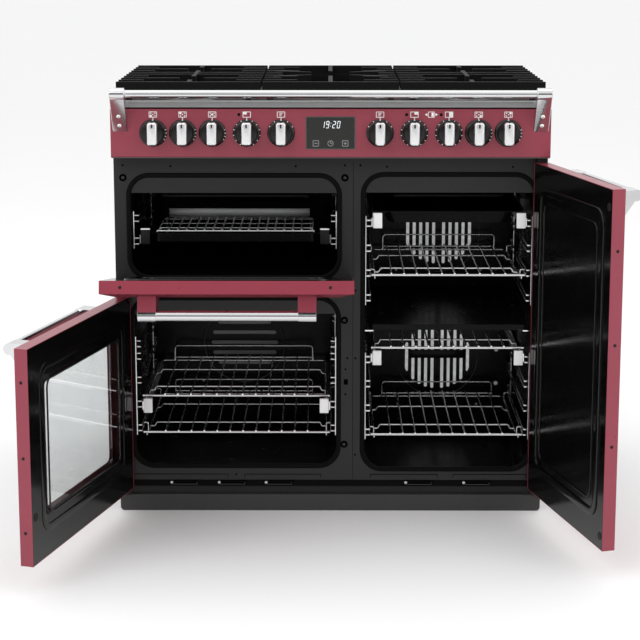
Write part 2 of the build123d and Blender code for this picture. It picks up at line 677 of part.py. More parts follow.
with BuildPart() as hinge_brackets:
    for x, y in (LEFT_PIVOT, RIGHT_PIVOT):
        box_between((x - 11, y - 9, RECESS_TOP - 11), (x + 11, 12, RECESS_TOP - 0.5))
        rod((x, y, RECESS_TOP - 1), (x, y, RECESS_TOP + 9), PIN_RADIUS)
    x, y = RIGHT_PIVOT
    box_between((x - 9, y - 9, HIGH_DOOR_TOP + 0.5), (x + 9, 0, HIGH_DOOR_TOP + 9))
    rod((x, y, HIGH_DOOR_TOP + 1), (x, y, HIGH_DOOR_TOP - 9), PIN_RADIUS)
    x, y = LEFT_PIVOT
    box_between((x - 3, y - 3, LEFT_DOOR_TOP - 8), (x + 3, 0, LEFT_DOOR_TOP - 4))
    rod((x, y, LEFT_DOOR_TOP - 8), (x, y, LEFT_DOOR_TOP - 0.2), PIN_RADIUS)
    for edge_x, side in ((LEFT_COLUMN_EDGES[0], 1), (LEFT_COLUMN_EDGES[1], -1)):
        tab_low, tab_high = sorted((edge_x + side * 14, edge_x + side * 19))
        box_between((tab_low, TOP_PIVOT[0] - 4, TOP_PIVOT[1] - 4), (tab_high, 0, TOP_PIVOT[1] + 4))
        rod((edge_x + side * 0.2, *TOP_PIVOT), (edge_x + side * 16, *TOP_PIVOT), PIN_RADIUS)
hinge_brackets.part.label = "hinge_brackets"
export_step(hinge_brackets.part, "parts/hinge_brackets.step")


# ---------------------------------------------------------------- inside the ovens
def ladder(middle, half, side, heights):
    """One wire side ladder: two uprights, wall pegs, and a bent rail at each height."""
    upright = middle + side * (half - 9)
    channel = middle + side * (half - 19)
    wall = middle + side * half
    low, high = min(heights) - 9, max(heights) + 9
    with BuildPart() as frame:
        for y in (WIRE_FRONT, WIRE_BACK):
            rod((upright, y, low), (upright, y, high), 2.5)
            for z in (low + 4, high - 4):
                rod((upright, y, z), (wall, y, z), 2.0)
        for z in heights:
            rod((upright, WIRE_FRONT, z), (channel, WIRE_FRONT, z), 2.0)
            rod((channel, WIRE_FRONT, z), (channel, WIRE_BACK, z), 2.0)
            rod((channel, WIRE_BACK, z), (upright, WIRE_BACK, z), 2.0)
            with Locations((channel, WIRE_FRONT, z), (channel, WIRE_BACK, z)):
                Sphere(2.0)
    return frame.part


def fixed_rail(middle, half, side, low):
    """The fixed member of a telescopic runner, clipped to the inside of a ladder's channel."""
    near = middle + side * (half - 21.2)
    far = middle + side * (half - 23.2)
    with BuildPart() as member:
        box_between((min(near, far), WIRE_FRONT + 4, low), (max(near, far), WIRE_BACK - 4, low + 18))
    return member.part


def pairs(starts):
    """Both rail heights of every channel."""
    return [z for start in starts for z in (start, start + PAIR_GAP)]


LADDER_SETS = {
    "top": [pairs(TOP_LADDER_PAIRS)],
    "left": [pairs(LEFT_LADDER_PAIRS)],
    "right": [pairs([start + k * RIGHT_LADDER_PITCH for k in range(4)]) for start in RIGHT_LADDER_STARTS],
}
# the runner's height in each oven: the bottom of its fixed member
RUNNERS = {"top": (579.0,), "left": (217.0,), "right": (323.0, 615.0)}

DIVIDER_HEIGHT = 407.0
for name, sets in LADDER_SETS.items():
    oven = OVENS[name]
    solids = []
    for side in (-1, 1):
        for heights in sets:
            solids.append(ladder(oven["middle"], oven["half"], side, heights))
        for low in RUNNERS[name]:
            solids.append(fixed_rail(oven["middle"], oven["half"], side, low))
        if name == "right":
            x_low, x_high = sorted((oven["middle"] + side * oven["half"],
                                    oven["middle"] + side * (oven["half"] - 26)))
            with BuildPart() as ledge:
                box_between((x_low, 14, DIVIDER_HEIGHT - 15), (x_high, 392, DIVIDER_HEIGHT - 12.4))
            solids.append(ledge.part)
    ladders = Compound(label=f"ladders_{name}", children=solids)
    export_step(ladders, f"parts/ladders_{name}.step")


def runner_pair(middle, half, low, height, plate_top):
    """The moving members of a pair of telescopic runners, each with its front plate."""
    members = []
    for side in (-1, 1):
        near = middle + side * (half - 23.6)
        far = middle + side * (half - 33)
        plate_near = middle + side * (half - 25)
        plate_far = middle + side * (half - 43)
        with BuildPart() as member:
            box_between((min(near, far), 18, low), (max(near, far), WIRE_BACK - 12, low + height))
            box_between((min(plate_near, plate_far), 14, low - 1),
                        (max(plate_near, plate_far), 18, plate_top))
        members.append(member.part)
    return members


for name, oven_name, low, height, plate_top in (
        ("runners_left", "left", RUNNERS["left"][0], 18.0, 243.5),
        ("runners_right_middle", "right", RUNNERS["right"][0], 18.0, 349.0),
        ("runners_right_top", "right", RUNNERS["right"][1], 30.5, 645.0)):
    oven = OVENS[oven_name]
    runners = Compound(label=name, children=runner_pair(
        oven["middle"], oven["half"], low, height, plate_top))
    export_step(runners, f"parts/{name}.step")


def wire_shelf(name, middle, half, height, wires, pitch, hook_height):
    """A wire shelf: front bar, long wires, cross bars with dropped ends, and a rear guard.

    With a hook height, four hooks reach into the ladder's channel.
    """
    drop = height - 8.5
    side_rod = half - 29
    rear = 370.0
    cross_half = side_rod - 14
    guard_half = (wires - 1) / 2 * pitch + 8
    with BuildPart() as shelf:
        rod((middle - half + 22, 30, height), (middle + half - 22, 30, height), 3)
        for index in range(wires):
            x = middle + (index - (wires - 1) / 2) * pitch
            rod((x, 26, height + 3.5), (x, rear + 3, height + 3.5), 1.8)
        low_x, high_x = middle - side_rod, middle + side_rod
        bent_rod([(low_x, 31, height), (low_x, 31, drop), (low_x, rear, drop), (high_x, rear, drop),
                  (high_x, 31, drop), (high_x, 31, height)], (4, 10, 10, 4), 2.4)
        for y in (105, 251):
            bent_rod([(low_x, y, drop), (middle - cross_half - 4, y, drop), (middle - cross_half, y, height),
                      (middle + cross_half, y, height), (middle + cross_half + 4, y, drop),
                      (high_x, y, drop)], (3.5, 3.5, 3.5, 3.5), 2.1)
        low_x, high_x = middle - guard_half, middle + guard_half
        rod((low_x, rear - 3, height), (high_x, rear - 3, height), 2.2)
        bent_rod([(low_x, rear - 2, drop), (low_x, rear - 2, height + 27),
                  (high_x, rear - 2, height + 27), (high_x, rear - 2, drop)], (8, 8), 1.9)
        if hook_height:
            for side in (-1, 1):
                x = middle + side * side_rod
                tip = middle + side * (half - 19)
                for y in (60, 340):
                    bent_rod([(x, y, drop), (x, y, hook_height), (tip, y, hook_height)], (3, ), 1.6)
    shelf.part.label = name
    export_step(shelf.part, f"parts/{name}.step")


right = OVENS["right"]
left = OVENS["left"]
channel_centre = PAIR_GAP / 2
wire_shelf("shelf_right_upper", right["middle"], right["half"], RIGHT_SHELVES["upper"], 10, 26.7,
           RIGHT_LADDER_STARTS[1] + RIGHT_LADDER_PITCH + channel_centre)
wire_shelf("shelf_right_middle", right["middle"], right["half"], RIGHT_SHELVES["middle"], 10, 26.7, None)
wire_shelf("shelf_right_lower", right["middle"], right["half"], RIGHT_SHELVES["lower"], 10, 26.7,
           RIGHT_LADDER_STARTS[0] + channel_centre)
wire_shelf("shelf_left_upper", left["middle"], left["half"], LEFT_SHELVES["upper"], 12, 27.7, None)
wire_shelf("shelf_left_lower", left["middle"], left["half"], LEFT_SHELVES["lower"], 12, 27.7,
           LEFT_LADDER_PAIRS[0] + channel_centre)

TRAY_RIM = 648.0
TRAY_DEPTH = 27.0
TRAY_HALF = 140.0
with BuildPart() as oven_tray:
    with BuildSketch(Plane.XY.offset(TRAY_RIM - TRAY_DEPTH)):
        with Locations((right["middle"], 192)):
            RectangleRounded(2 * TRAY_HALF - 26, 300, 20)
    with BuildSketch(Plane.XY.offset(TRAY_RIM)):
        with Locations((right["middle"], 192)):
            RectangleRounded(2 * TRAY_HALF, 326, 24)
    loft()
    with BuildSketch(Plane.XY.offset(TRAY_RIM - TRAY_DEPTH + SHEET)):
        with Locations((right["middle"], 192)):
            RectangleRounded(2 * TRAY_HALF - 28, 298, 19)
    with BuildSketch(Plane.XY.offset(TRAY_RIM)):
        with Locations((right["middle"], 192)):
            RectangleRounded(2 * TRAY_HALF - 3, 323, 23)
    loft(mode=Mode.SUBTRACT)
    with BuildSketch(Plane.XY.offset(TRAY_RIM - SHEET)):
        with Locations((right["middle"], 192)):
            RectangleRounded(2 * TRAY_HALF + 34, 338, 26)
            RectangleRounded(2 * TRAY_HALF - 4, 322, 22, mode=Mode.SUBTRACT)
    extrude(amount=SHEET)
oven_tray.part.label = "oven_tray"
export_step(oven_tray.part, "parts/oven_tray.step")

with BuildPart() as oven_divider:
    side_reach = right["half"] - 24
    box_between((right["middle"] - side_reach, 14, DIVIDER_HEIGHT - 2),
                (right["middle"] + side_reach, 385, DIVIDER_HEIGHT))
    for y in (14, 384):
        box_between((right["middle"] - side_reach, y, DIVIDER_HEIGHT - 12),
                    (right["middle"] + side_reach, y + SHEET, DIVIDER_HEIGHT))
oven_divider.part.label = "oven_divider"
export_step(oven_divider.part, "parts/oven_divider.step")

top = OVENS["top"]
PAN_HALF = 170.0
PAN_BOTTOM = 583.0
PAN_RIM = 601.0
with BuildPart() as pan:
    with BuildSketch(Plane.XY.offset(PAN_BOTTOM)):
        with Locations((top["middle"], 115)):
            RectangleRounded(2 * PAN_HALF, 180, 12)
    extrude(amount=PAN_RIM - PAN_BOTTOM)
    offset(amount=-SHEET, openings=pan.faces().sort_by(Axis.Z)[-1], kind=Kind.INTERSECTION)
    box_between((top["middle"] - PAN_HALF + 12, 203.5, PAN_RIM - 2),
                (top["middle"] + PAN_HALF - 12, 205, 626))
    for side in (-1, 1):
        x_low, x_high = sorted((top["middle"] + side * (PAN_HALF - 0.5),
                                top["middle"] + side * (top["half"] - 33.2)))
        box_between((x_low, 26, PAN_RIM - SHEET), (x_high, 200, PAN_RIM))
grill_pan = Compound(label="grill_pan", children=[pan.part, *runner_pair(
    top["middle"], top["half"], RUNNERS["top"][0], 18.0, 609.5)])
export_step(grill_pan, "parts/grill_pan.step")

TRIVET_TOP = 607.0
with BuildPart() as grill_trivet:
    trivet_half = PAN_HALF - 6
    for y in (32, 196):
        rod((top["middle"] - trivet_half, y, TRIVET_TOP - 3),
            (top["middle"] + trivet_half, y, TRIVET_TOP - 3), 2.5)
    for side in (-1, 1):
        x = top["middle"] + side * trivet_half
        rod((x, 32, TRIVET_TOP - 3), (x, 196, TRIVET_TOP - 3), 2.5)
        for y in (50, 178):
            foot = top["middle"] + side * (trivet_half - 6)
            rod((foot, y, PAN_BOTTOM + SHEET), (foot, y, TRIVET_TOP - 2), 2.0)
            rod((foot, y, TRIVET_TOP - 2), (x, y, TRIVET_TOP - 2), 1.8)
    for y in (70, 126, 180):
        rod((top["middle"] - trivet_half, y, TRIVET_TOP - 3),
            (top["middle"] + trivet_half, y, TRIVET_TOP - 3), 1.6)
    for index in range(16):
        x = top["middle"] + (index - 7.5) * 18.6
        rod((x, 32, TRIVET_TOP), (x, 196, TRIVET_TOP), 1.6)
grill_trivet.part.label = "grill_trivet"
export_step(grill_trivet.part, "parts/grill_trivet.step")

COVER_FRONT = 396.0
covers = []
for x, z, slots, upright in ((251, 241, 10, True), (251, 540, 10, True), (-200, 275, 5, False)):
    with BuildPart() as cover:
        with BuildSketch(front_plane(LINER_BACK)):
            with Locations((x, z)):
                RectangleRounded(214, 200, 10)
        extrude(amount=LINER_BACK - COVER_FRONT)
        offset(amount=-SHEET, openings=cover.faces().sort_by(Axis.Y)[-1], kind=Kind.INTERSECTION)
        with BuildSketch(front_plane(COVER_FRONT + 4)):
            for index in range(slots):
                step = index - (slots - 1) / 2
                if upright:
                    place = (x + step * 15 + (4 if step > 0 else -4), z)
                    size = 2 * (76 ** 2 - (step * 15) ** 2) ** 0.5
                    with Locations(place):
                        SlotOverall(size, 7, rotation=90)
                else:
                    with Locations((x, z + step * 24)):
                        SlotOverall(2 * (78 ** 2 - (step * 24) ** 2) ** 0.5, 9)
        extrude(amount=6, mode=Mode.SUBTRACT)
    covers.append(cover.part)
fan_covers = Compound(label="fan_covers", children=covers)
export_step(fan_covers, "parts/fan_covers.step")
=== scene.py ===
"""Looks for a freestanding gas range: finishes, knobs, clock, fittings, and a studio stage."""

import json
import math

import bmesh
import bpy
from bpy.props import FloatProperty, FloatVectorProperty, PointerProperty, StringProperty
from mathutils import Matrix, Vector

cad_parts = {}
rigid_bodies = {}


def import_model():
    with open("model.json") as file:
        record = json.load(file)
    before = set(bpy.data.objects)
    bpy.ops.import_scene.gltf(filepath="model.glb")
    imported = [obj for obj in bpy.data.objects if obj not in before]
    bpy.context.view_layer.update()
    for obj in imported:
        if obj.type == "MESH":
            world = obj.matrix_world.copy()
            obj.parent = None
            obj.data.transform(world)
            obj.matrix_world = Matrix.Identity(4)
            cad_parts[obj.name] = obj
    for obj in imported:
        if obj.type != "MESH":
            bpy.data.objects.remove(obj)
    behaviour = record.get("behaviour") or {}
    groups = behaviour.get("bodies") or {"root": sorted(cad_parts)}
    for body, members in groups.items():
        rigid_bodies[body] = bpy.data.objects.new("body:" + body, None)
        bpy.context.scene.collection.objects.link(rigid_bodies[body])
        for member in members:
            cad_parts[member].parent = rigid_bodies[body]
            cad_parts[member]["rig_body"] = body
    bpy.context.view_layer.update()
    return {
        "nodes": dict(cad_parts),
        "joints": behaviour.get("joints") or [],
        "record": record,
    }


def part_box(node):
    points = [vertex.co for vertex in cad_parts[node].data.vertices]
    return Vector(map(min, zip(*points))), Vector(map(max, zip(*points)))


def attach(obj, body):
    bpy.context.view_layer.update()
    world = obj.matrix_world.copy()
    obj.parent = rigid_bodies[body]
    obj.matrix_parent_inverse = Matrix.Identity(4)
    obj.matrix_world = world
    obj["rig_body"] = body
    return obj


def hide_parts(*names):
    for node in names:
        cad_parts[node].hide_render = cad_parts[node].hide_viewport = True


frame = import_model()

bl_info = {
    "name": "Gas Range Finishes",
    "version": (1, 0, 0),
    "blender": (4, 5, 0),
    "location": "View3D > Sidebar > Gas Range",
    "description": "Finishes and fittings for a three oven gas range",
    "category": "Object",
}

MM = 0.001
JOINTS = {joint["name"]: joint for joint in frame["joints"]}
SLOTS = {part["node"]: part["material_slot"] for part in frame["record"]["subparts"]}
FINISHES = {}

CAMERA_PLACE = (-0.0034, -3.5625, 1.2340)
CAMERA_YAW = 0.00515
CAMERA_SHIFT = -0.12
# Height above which the top handle's feet carry a painted reflection of the enamel.
HANDLE_FEET_FROM = 0.497
SMOOTH_BELOW = math.radians(40)
SKIN_SMOOTH_BELOW = math.radians(32)
CLOCK_KEYS = (-0.0300, 0.0, 0.0300)
FRAME_CATCHES = ((-431, 722), (30, 722), (29.5, 419), (29.5, 148))
FRAME_HOLES = ((-431, 748), (-332, 746), (-72, 746), (30, 748), (62, 748), (117, 745), (378, 745),
               (53, 337), (36, 337), (32, 313), (32, 258), (53, 125), (53, 483), (-201, 96), (-201, 81))
LOUVRES = (-311, -209.5, -109, 189.5, 313.5)
SEAMS = ((-0.434, -0.218), (-0.184, -0.020), (0.085, 0.230), (0.262, 0.420))
WALL_SCREWS = ((0.118, 0.450), (0.385, 0.450), (0.160, 0.125), (0.345, 0.125), (-0.335, 0.665),
               (-0.060, 0.665), (-0.350, 0.150), (-0.050, 0.150))
OVEN_LAMPS = ((0.390, 0.176), (0.390, 0.257), (0.390, 0.585))


# ------------------------------------------------------------------ settings
class RangeColours(bpy.types.PropertyGroup):
    """Colours of the painted and enamelled pieces."""

    enamel: FloatVectorProperty(name="Enamel", description="Rose enamel of the doors and the fascia",
                                subtype="COLOR", size=3, min=0, max=1, default=(0.262, 0.039, 0.061))
    frame_grey: FloatVectorProperty(name="Frame grey", description="Paint of the frame and the case",
                                    subtype="COLOR", size=3, min=0, max=1, default=(0.019, 0.019, 0.019))
    oven_black: FloatVectorProperty(name="Oven black", description="Enamel inside the ovens",
                                    subtype="COLOR", size=3, min=0, max=1, default=(0.0022, 0.0022, 0.0022))
    print_white: FloatVectorProperty(name="Print white", description="Printed signs and knob marks",
                                     subtype="COLOR", size=3, min=0, max=1, default=(0.85, 0.84, 0.82))
    floor: FloatVectorProperty(name="Floor", description="Studio floor", subtype="COLOR", size=3,
                               min=0, max=1, default=(0.92, 0.92, 0.92))


class RangeSizes(bpy.types.PropertyGroup):
    """Sizes of the pieces that are made here."""

    knob_radius: FloatProperty(name="Knob radius", description="Radius of a knob's skirt",
                               default=0.028, min=0.02, max=0.04, unit="LENGTH")
    dial_radius: FloatProperty(name="Dial radius", description="Radius of a knob's raised dial",
                               default=0.0225, min=0.015, max=0.03, unit="LENGTH")
    grip_width: FloatProperty(name="Grip width", description="Width of the metal grip",
                              default=0.0204, min=0.01, max=0.03, unit="LENGTH")
    grip_reach: FloatProperty(name="Grip reach", description="How far the grip stands out of the seat",
                              default=0.0298, min=0.02, max=0.03, unit="LENGTH")
    sign_size: FloatProperty(name="Sign size", description="Height of a printed sign above a knob",
                             default=0.0122, min=0.006, max=0.02, unit="LENGTH")
    clock_time: StringProperty(name="Clock time", description="Time shown by the clock", default="19:20")


class RangeStage(bpy.types.PropertyGroup):
    """Camera and lights."""

    lens: FloatProperty(name="Lens", description="Focal length in millimetres", default=97.52,
                        min=20, max=300)
    pitch: FloatProperty(name="Pitch", description="How far the camera looks down", default=0.18048,
                         subtype="ANGLE")
    key_power: FloatProperty(name="Key light", description="Power of the large soft light in watts",
                             default=60.0, min=0, max=2000)
    sky: FloatProperty(name="Sky", description="Brightness of the surroundings", default=1.0,
                       min=0, max=10)


# ------------------------------------------------------------------ shader tools
class Signal:
    """A number that varies over a surface. Arithmetic on it adds Math nodes."""

    def __init__(self, finish, socket):
        self.finish = finish
        self.socket = socket

    def _math(self, operation, first, second):
        node = self.finish.node("ShaderNodeMath", {"operation": operation}, {0: first, 1: second})
        return Signal(self.finish, node.outputs[0])

    def __add__(self, other):
        return self._math("ADD", self, other)

    def __radd__(self, other):
        return self._math("ADD", other, self)

    def __sub__(self, other):
        return self._math("SUBTRACT", self, other)

    def __rsub__(self, other):
        return self._math("SUBTRACT", other, self)

    def __mul__(self, other):
        return self._math("MULTIPLY", self, other)

    def __rmul__(self, other):
        return self._math("MULTIPLY", other, self)

    def above(self, limit):
        """1 where the value is over the limit, and 0 elsewhere."""
        return self._math("GREATER_THAN", self, limit)


class Finish:
    """A procedural material around one Principled shader."""

    def __init__(self, name, constants=None):
        self.material = bpy.data.materials.new(name)
        self.material.use_nodes = True
        self.tree = self.material.node_tree
        self.tree.nodes.clear()
        self.shader = self.node("ShaderNodeBsdfPrincipled")
        output = self.node("ShaderNodeOutputMaterial")
        self.tree.links.new(self.shader.outputs[0], output.inputs["Surface"])
        for socket, value in (constants or {}).items():
            self.shader.inputs[socket].default_value = value

    def node(self, kind, settings=None, inputs=None):
        """Add a node, set its settings, and then give each socket a value or a link."""
        made = self.tree.nodes.new(kind)
        for key, value in (settings or {}).items():
            setattr(made, key, value)
        for key, value in (inputs or {}).items():
            self.give(made.inputs[key], value)
        return made

    def give(self, socket, value):
        """Link a signal or a socket into this one, or set its value."""
        if isinstance(value, Signal):
            self.tree.links.new(value.socket, socket)
        elif isinstance(value, bpy.types.NodeSocket):
            self.tree.links.new(value, socket)
        else:
            socket.default_value = value

    def place(self, stretch=(1, 1, 1)):
        """Object coordinates, stretched along each axis."""
        coordinates = self.node("ShaderNodeTexCoord")
        mapping = self.node("ShaderNodeMapping", {}, {"Vector": coordinates.outputs["Object"],
                                                      "Scale": stretch})
        return mapping.outputs[0]

    def noise(self, scale, detail=3.0, stretch=(1, 1, 1), roughness=0.5):
        """Noise from 0 to 1 at a scale in features per metre."""
        made = self.node("ShaderNodeTexNoise", {"noise_dimensions": "3D"},
                         {"Vector": self.place(stretch), "Scale": scale, "Detail": detail,
                          "Roughness": roughness})
        return Signal(self, made.outputs["Fac"])

    def level(self):
        """Height over the floor in metres."""
        axes = self.node("ShaderNodeSeparateXYZ", {}, {"Vector": self.place()})
        return Signal(self, axes.outputs["Z"])

    def cells(self, scale):
        """One random value from 0 to 1 for each cell."""
        made = self.node("ShaderNodeTexVoronoi", {}, {"Vector": self.place(), "Scale": scale})
        channels = self.node("ShaderNodeSeparateColor", {}, {"Color": made.outputs["Color"]})
        return Signal(self, channels.outputs[0])

    def mix(self, factor, first, second):
        """Blend two colours by a signal."""
        made = self.node("ShaderNodeMix", {"data_type": "RGBA"}, {"Factor": factor})
        self.give(made.inputs[6], (*first, 1))
        self.give(made.inputs[7], (*second, 1))
        return made.outputs[2]

    def bump(self, height, distance, strength=1.0):
        """Feed a height into the shader's normal, at a distance in metres."""
        made = self.node("ShaderNodeBump", {}, {"Height": height, "Distance": distance,
                                                "Strength": strength})
        self.tree.links.new(made.outputs[0], self.shader.inputs["Normal"])

    def vary(self, socket, value):
        """Feed a varying value or colour into one of the shader's sockets."""
        self.give(self.shader.inputs[socket], value)


def scaled(colour, factor):
    """A colour made lighter or darker."""
    return tuple(min(1.0, channel * factor) for channel in colour)


def enamel(name, colour, gloss, peel=0.00012):
    """Vitreous enamel: a clear coat, soft clouding and a faint orange peel."""
    finish = Finish(name, {"Specular IOR Level": 0.38, "Coat Weight": 0.08, "Coat Roughness": 0.08})
    clouds = finish.noise(9, 4)
    finish.vary("Base Color", finish.mix(clouds, scaled(colour, 0.9), scaled(colour, 1.12)))
    finish.vary("Roughness", gloss + 0.12 * finish.noise(60, 3))
    finish.bump(finish.noise(420, 2), peel, 0.35)
    return finish.material


def speckled_enamel(name, colour, gloss, shine):
    """Oven enamel: near black with a fine paler fleck."""
    finish = Finish(name, {"Specular IOR Level": shine})
    flecks = finish.cells(700).above(0.965)
    finish.vary("Base Color", finish.mix(flecks, colour, scaled(colour, 5)))
    finish.vary("Roughness", gloss + 0.16 * finish.noise(28, 4))
    finish.bump(finish.noise(260, 3), 0.0001, 0.15)
    return finish.material


def paint(name, colour, gloss, shine=0.25, grain=700):
    """Powder coat with a fine grain."""
    finish = Finish(name, {"Specular IOR Level": shine})
    clouds = finish.noise(6, 3)
    finish.vary("Base Color", finish.mix(clouds, scaled(colour, 0.9), scaled(colour, 1.1)))
    finish.vary("Roughness", gloss + 0.1 * finish.noise(80, 3))
    finish.bump(finish.noise(grain, 2), 0.00015, 0.3)
    return finish.material


def brushed(name, colour, gloss, stretch, edge=1.0):
    """Brushed metal: fine streaks along one axis, darker at a glancing view where edge is low."""
    finish = Finish(name, {"Metallic": 1.0, "Specular Tint": (*scaled((1, 1, 1), edge), 1)})
    streaks = finish.noise(900, 3, stretch, 0.6)
    finish.vary("Base Color", finish.mix(streaks, scaled(colour, 0.82), scaled(colour, 1.15)))
    finish.vary("Roughness", gloss + 0.14 * streaks)
    finish.bump(streaks, 0.00006, 0.35)
    return finish.material


def plated(name, colour, gloss):
    """Chrome plate with a faint handling haze."""
    finish = Finish(name, {"Metallic": 1.0})
    haze = finish.noise(22, 5)
    finish.vary("Base Color", finish.mix(haze, scaled(colour, 0.94), scaled(colour, 1.04)))
    finish.vary("Roughness", gloss + 0.07 * haze)
    finish.bump(finish.noise(35, 2), 0.00004, 0.2)
    return finish.material


def chrome_painted_reflection(name, colour, mirrored_enamel, height):
    """Chrome plate on a bar; the feet above a height carry a painted reflection: the colour of the enamel
    they mirror, less metallic and rougher.
    """
    finish = Finish(name)
    feet = finish.level().above(height)
    finish.vary("Base Color", finish.mix(feet, colour, mirrored_enamel))
    finish.vary("Metallic", 1.0 - 0.8 * feet)
    finish.vary("Roughness", 0.05 + 0.07 * finish.noise(22, 3) + 0.2 * feet)
    finish.bump(finish.noise(35, 2), 0.00004, 0.2)
    return finish.material


def iron(name, colour):
    """Cast iron under matt enamel: a pitted sand-cast skin."""
    finish = Finish(name, {"Specular IOR Level": 0.10})
    pits = finish.noise(520, 6, roughness=0.65)
    finish.vary("Base Color", finish.mix(pits, scaled(colour, 0.75), scaled(colour, 1.3)))
    finish.vary("Roughness", 0.42 + 0.25 * pits)
    finish.bump(pits, 0.0006, 0.5)
    return finish.material


def plastic(name, colour, gloss):
    """Moulded plastic with a fine spark-eroded texture."""
    finish = Finish(name, {"Specular IOR Level": 0.35})
    grain = finish.noise(1500, 2)
    finish.vary("Base Color", finish.mix(grain, scaled(colour, 0.9), scaled(colour, 1.1)))
    finish.vary("Roughness", gloss + 0.08 * grain)
    finish.bump(grain, 0.00008, 0.25)
    return finish.material


def galvanised(name):
    """Zinc coated sheet with its crystal pattern."""
    finish = Finish(name, {"Metallic": 1.0})
    crystals = finish.cells(90)
    finish.vary("Base Color", finish.mix(crystals, (0.42, 0.43, 0.44), (0.60, 0.61, 0.62)))
    finish.vary("Roughness", 0.34 + 0.2 * crystals)
    finish.bump(finish.noise(40, 3), 0.0002, 0.2)
    return finish.material


def clear_glass(name):
    """Heat resistant glass with a light film of dust."""
    finish = Finish(name, {"Transmission Weight": 1.0, "IOR": 1.45})
    haze = finish.noise(12, 4)
    finish.vary("Base Color", finish.mix(haze, (0.93, 0.95, 0.95), (0.98, 0.99, 0.99)))
    finish.vary("Roughness", 0.001 + 0.005 * haze)
    return finish.material


def glowing(name, colour, strength):
    """A lit sign or lamp face; also the painted glow of the fan wheels."""
    finish = Finish(name, {"Emission Strength": strength})
    glow = finish.noise(400, 2)
    shade = finish.mix(glow, scaled(colour, 0.9), colour)
    finish.vary("Base Color", shade)
    finish.vary("Emission Color", shade)
    finish.vary("Roughness", 0.4 + 0.1 * glow)
    return finish.material


def make_finishes(colours):
    """Every finish of the range, by name."""
    white = tuple(colours.print_white)
    return {
        "rose_enamel": enamel("rose_enamel", tuple(colours.enamel), 0.24),
        "grey_paint": paint("grey_paint", tuple(colours.frame_grey), 0.36),
        "black_steel": paint("black_steel", (0.010, 0.010, 0.010), 0.45, 0.2),
        "door_black": speckled_enamel("door_black", (0.0025, 0.0025, 0.0025), 0.07, 0.45),
        "zinc_sheet": galvanised("zinc_sheet"),
        "hob_steel": brushed("hob_steel", (0.33, 0.33, 0.33), 0.27, (0.03, 1, 1), 0.12),
        "cast_iron": iron("cast_iron", (0.0035, 0.0035, 0.0035)),
        "burner_alloy": brushed("burner_alloy", (0.13, 0.13, 0.128), 0.42, (1, 1, 0.1), 0.15),
        "black_enamel": speckled_enamel("black_enamel", tuple(colours.oven_black), 0.16, 0.10),
        "cap_enamel": speckled_enamel("cap_enamel", (0.006, 0.006, 0.006), 0.5, 0.06),
        "chrome": plated("chrome", (0.68, 0.68, 0.69), 0.05),
        # The top handle's chrome has a painted reflection of the rose enamel on its feet.
        "chrome_painted_reflection": chrome_painted_reflection("chrome_painted_reflection", (0.68, 0.68, 0.69),
                                       scaled(colours.enamel, 0.95), HANDLE_FEET_FROM),
        "chromed_wire": plated("chromed_wire", (0.74, 0.74, 0.75), 0.14),
        "runner_steel": brushed("runner_steel", (0.62, 0.62, 0.63), 0.28, (1, 0.04, 1)),
        "grip_metal": plated("grip_metal", (0.84, 0.84, 0.85), 0.33),
        "display_grey": enamel("display_grey", (0.014, 0.014, 0.013), 0.2, 0.00004),
        "knob_black": plastic("knob_black", (0.006, 0.006, 0.006), 0.22),
        "print_white": plastic("print_white", white, 0.45),
        "cap_white": plastic("cap_white", (0.94, 0.94, 0.93), 0.4),
        "seal": paint("seal", (0.003, 0.003, 0.003), 0.6, 0.06),
        "glass": clear_glass("glass"),
        "brass": brushed("brass", (0.55, 0.40, 0.17), 0.3, (1, 0.1, 1)),
        "ceramic": plastic("ceramic", (0.80, 0.78, 0.74), 0.3),
        "digit_light": glowing("digit_light", (0.80, 0.84, 0.88), 0.6),
        "key_light": glowing("key_light", (0.25, 0.26, 0.27), 0.2),
        # Painted glow: the fan wheel of the left oven shines dimly though it is no lamp.
        "dim_glow_paint_wheel": glowing("dim_glow_paint_wheel", (0.30, 0.30, 0.30), 0.018),
        "ring_grey": paint("ring_grey", (0.045, 0.045, 0.045), 0.3, 0.4),
        "clock_rim": plated("clock_rim", (0.15, 0.15, 0.15), 0.3),
        # Painted glow: the fan wheels behind the two right covers shine as if lit.
        "glow_paint_wheel": glowing("glow_paint_wheel", (0.80, 0.80, 0.80), 0.36),
        "lamp_glass": glowing("lamp_glass", (0.55, 0.53, 0.48), 0.25),
        "lip_grey": paint("lip_grey", (0.085, 0.078, 0.078), 0.4),
        "plinth_grey": paint("plinth_grey", (0.042, 0.042, 0.042), 0.36),
        # Near black: painted shade of the recessed lower rail.
        "recess_shade_black": paint("recess_shade_black", (0.0025, 0.0025, 0.0025), 0.45, 0.05),
        # Black for holes, slots and screw recesses, as painted shade; also the dark card behind the camera.
        "hole_black": paint("hole_black", (0.0008, 0.0008, 0.0008), 0.8, 0.02),
    }


# ------------------------------------------------------------------ mesh tools
def finish_piece(name, shape, finish, body):
    """Turn a bmesh into a finished object that rides on a body."""
    bmesh.ops.remove_doubles(shape, verts=shape.verts, dist=1e-6)
    bmesh.ops.recalc_face_normals(shape, faces=shape.faces)
    for face in shape.faces:
        face.smooth = True
    for edge in shape.edges:
        if len(edge.link_faces) == 2:
            edge.smooth = edge.calc_face_angle(0) < SMOOTH_BELOW
    mesh = bpy.data.meshes.new(name)
    shape.to_mesh(mesh)
    shape.free()
    return place_mesh(name, mesh, finish, body)


def place_mesh(name, mesh, finish, body):
    """Link a mesh at the origin, with its finish, and let it ride on a body."""
    piece = bpy.data.objects.new(name, mesh)
    bpy.context.scene.collection.objects.link(piece)
    mesh.materials.append(FINISHES[finish])
    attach(piece, body)
    return piece


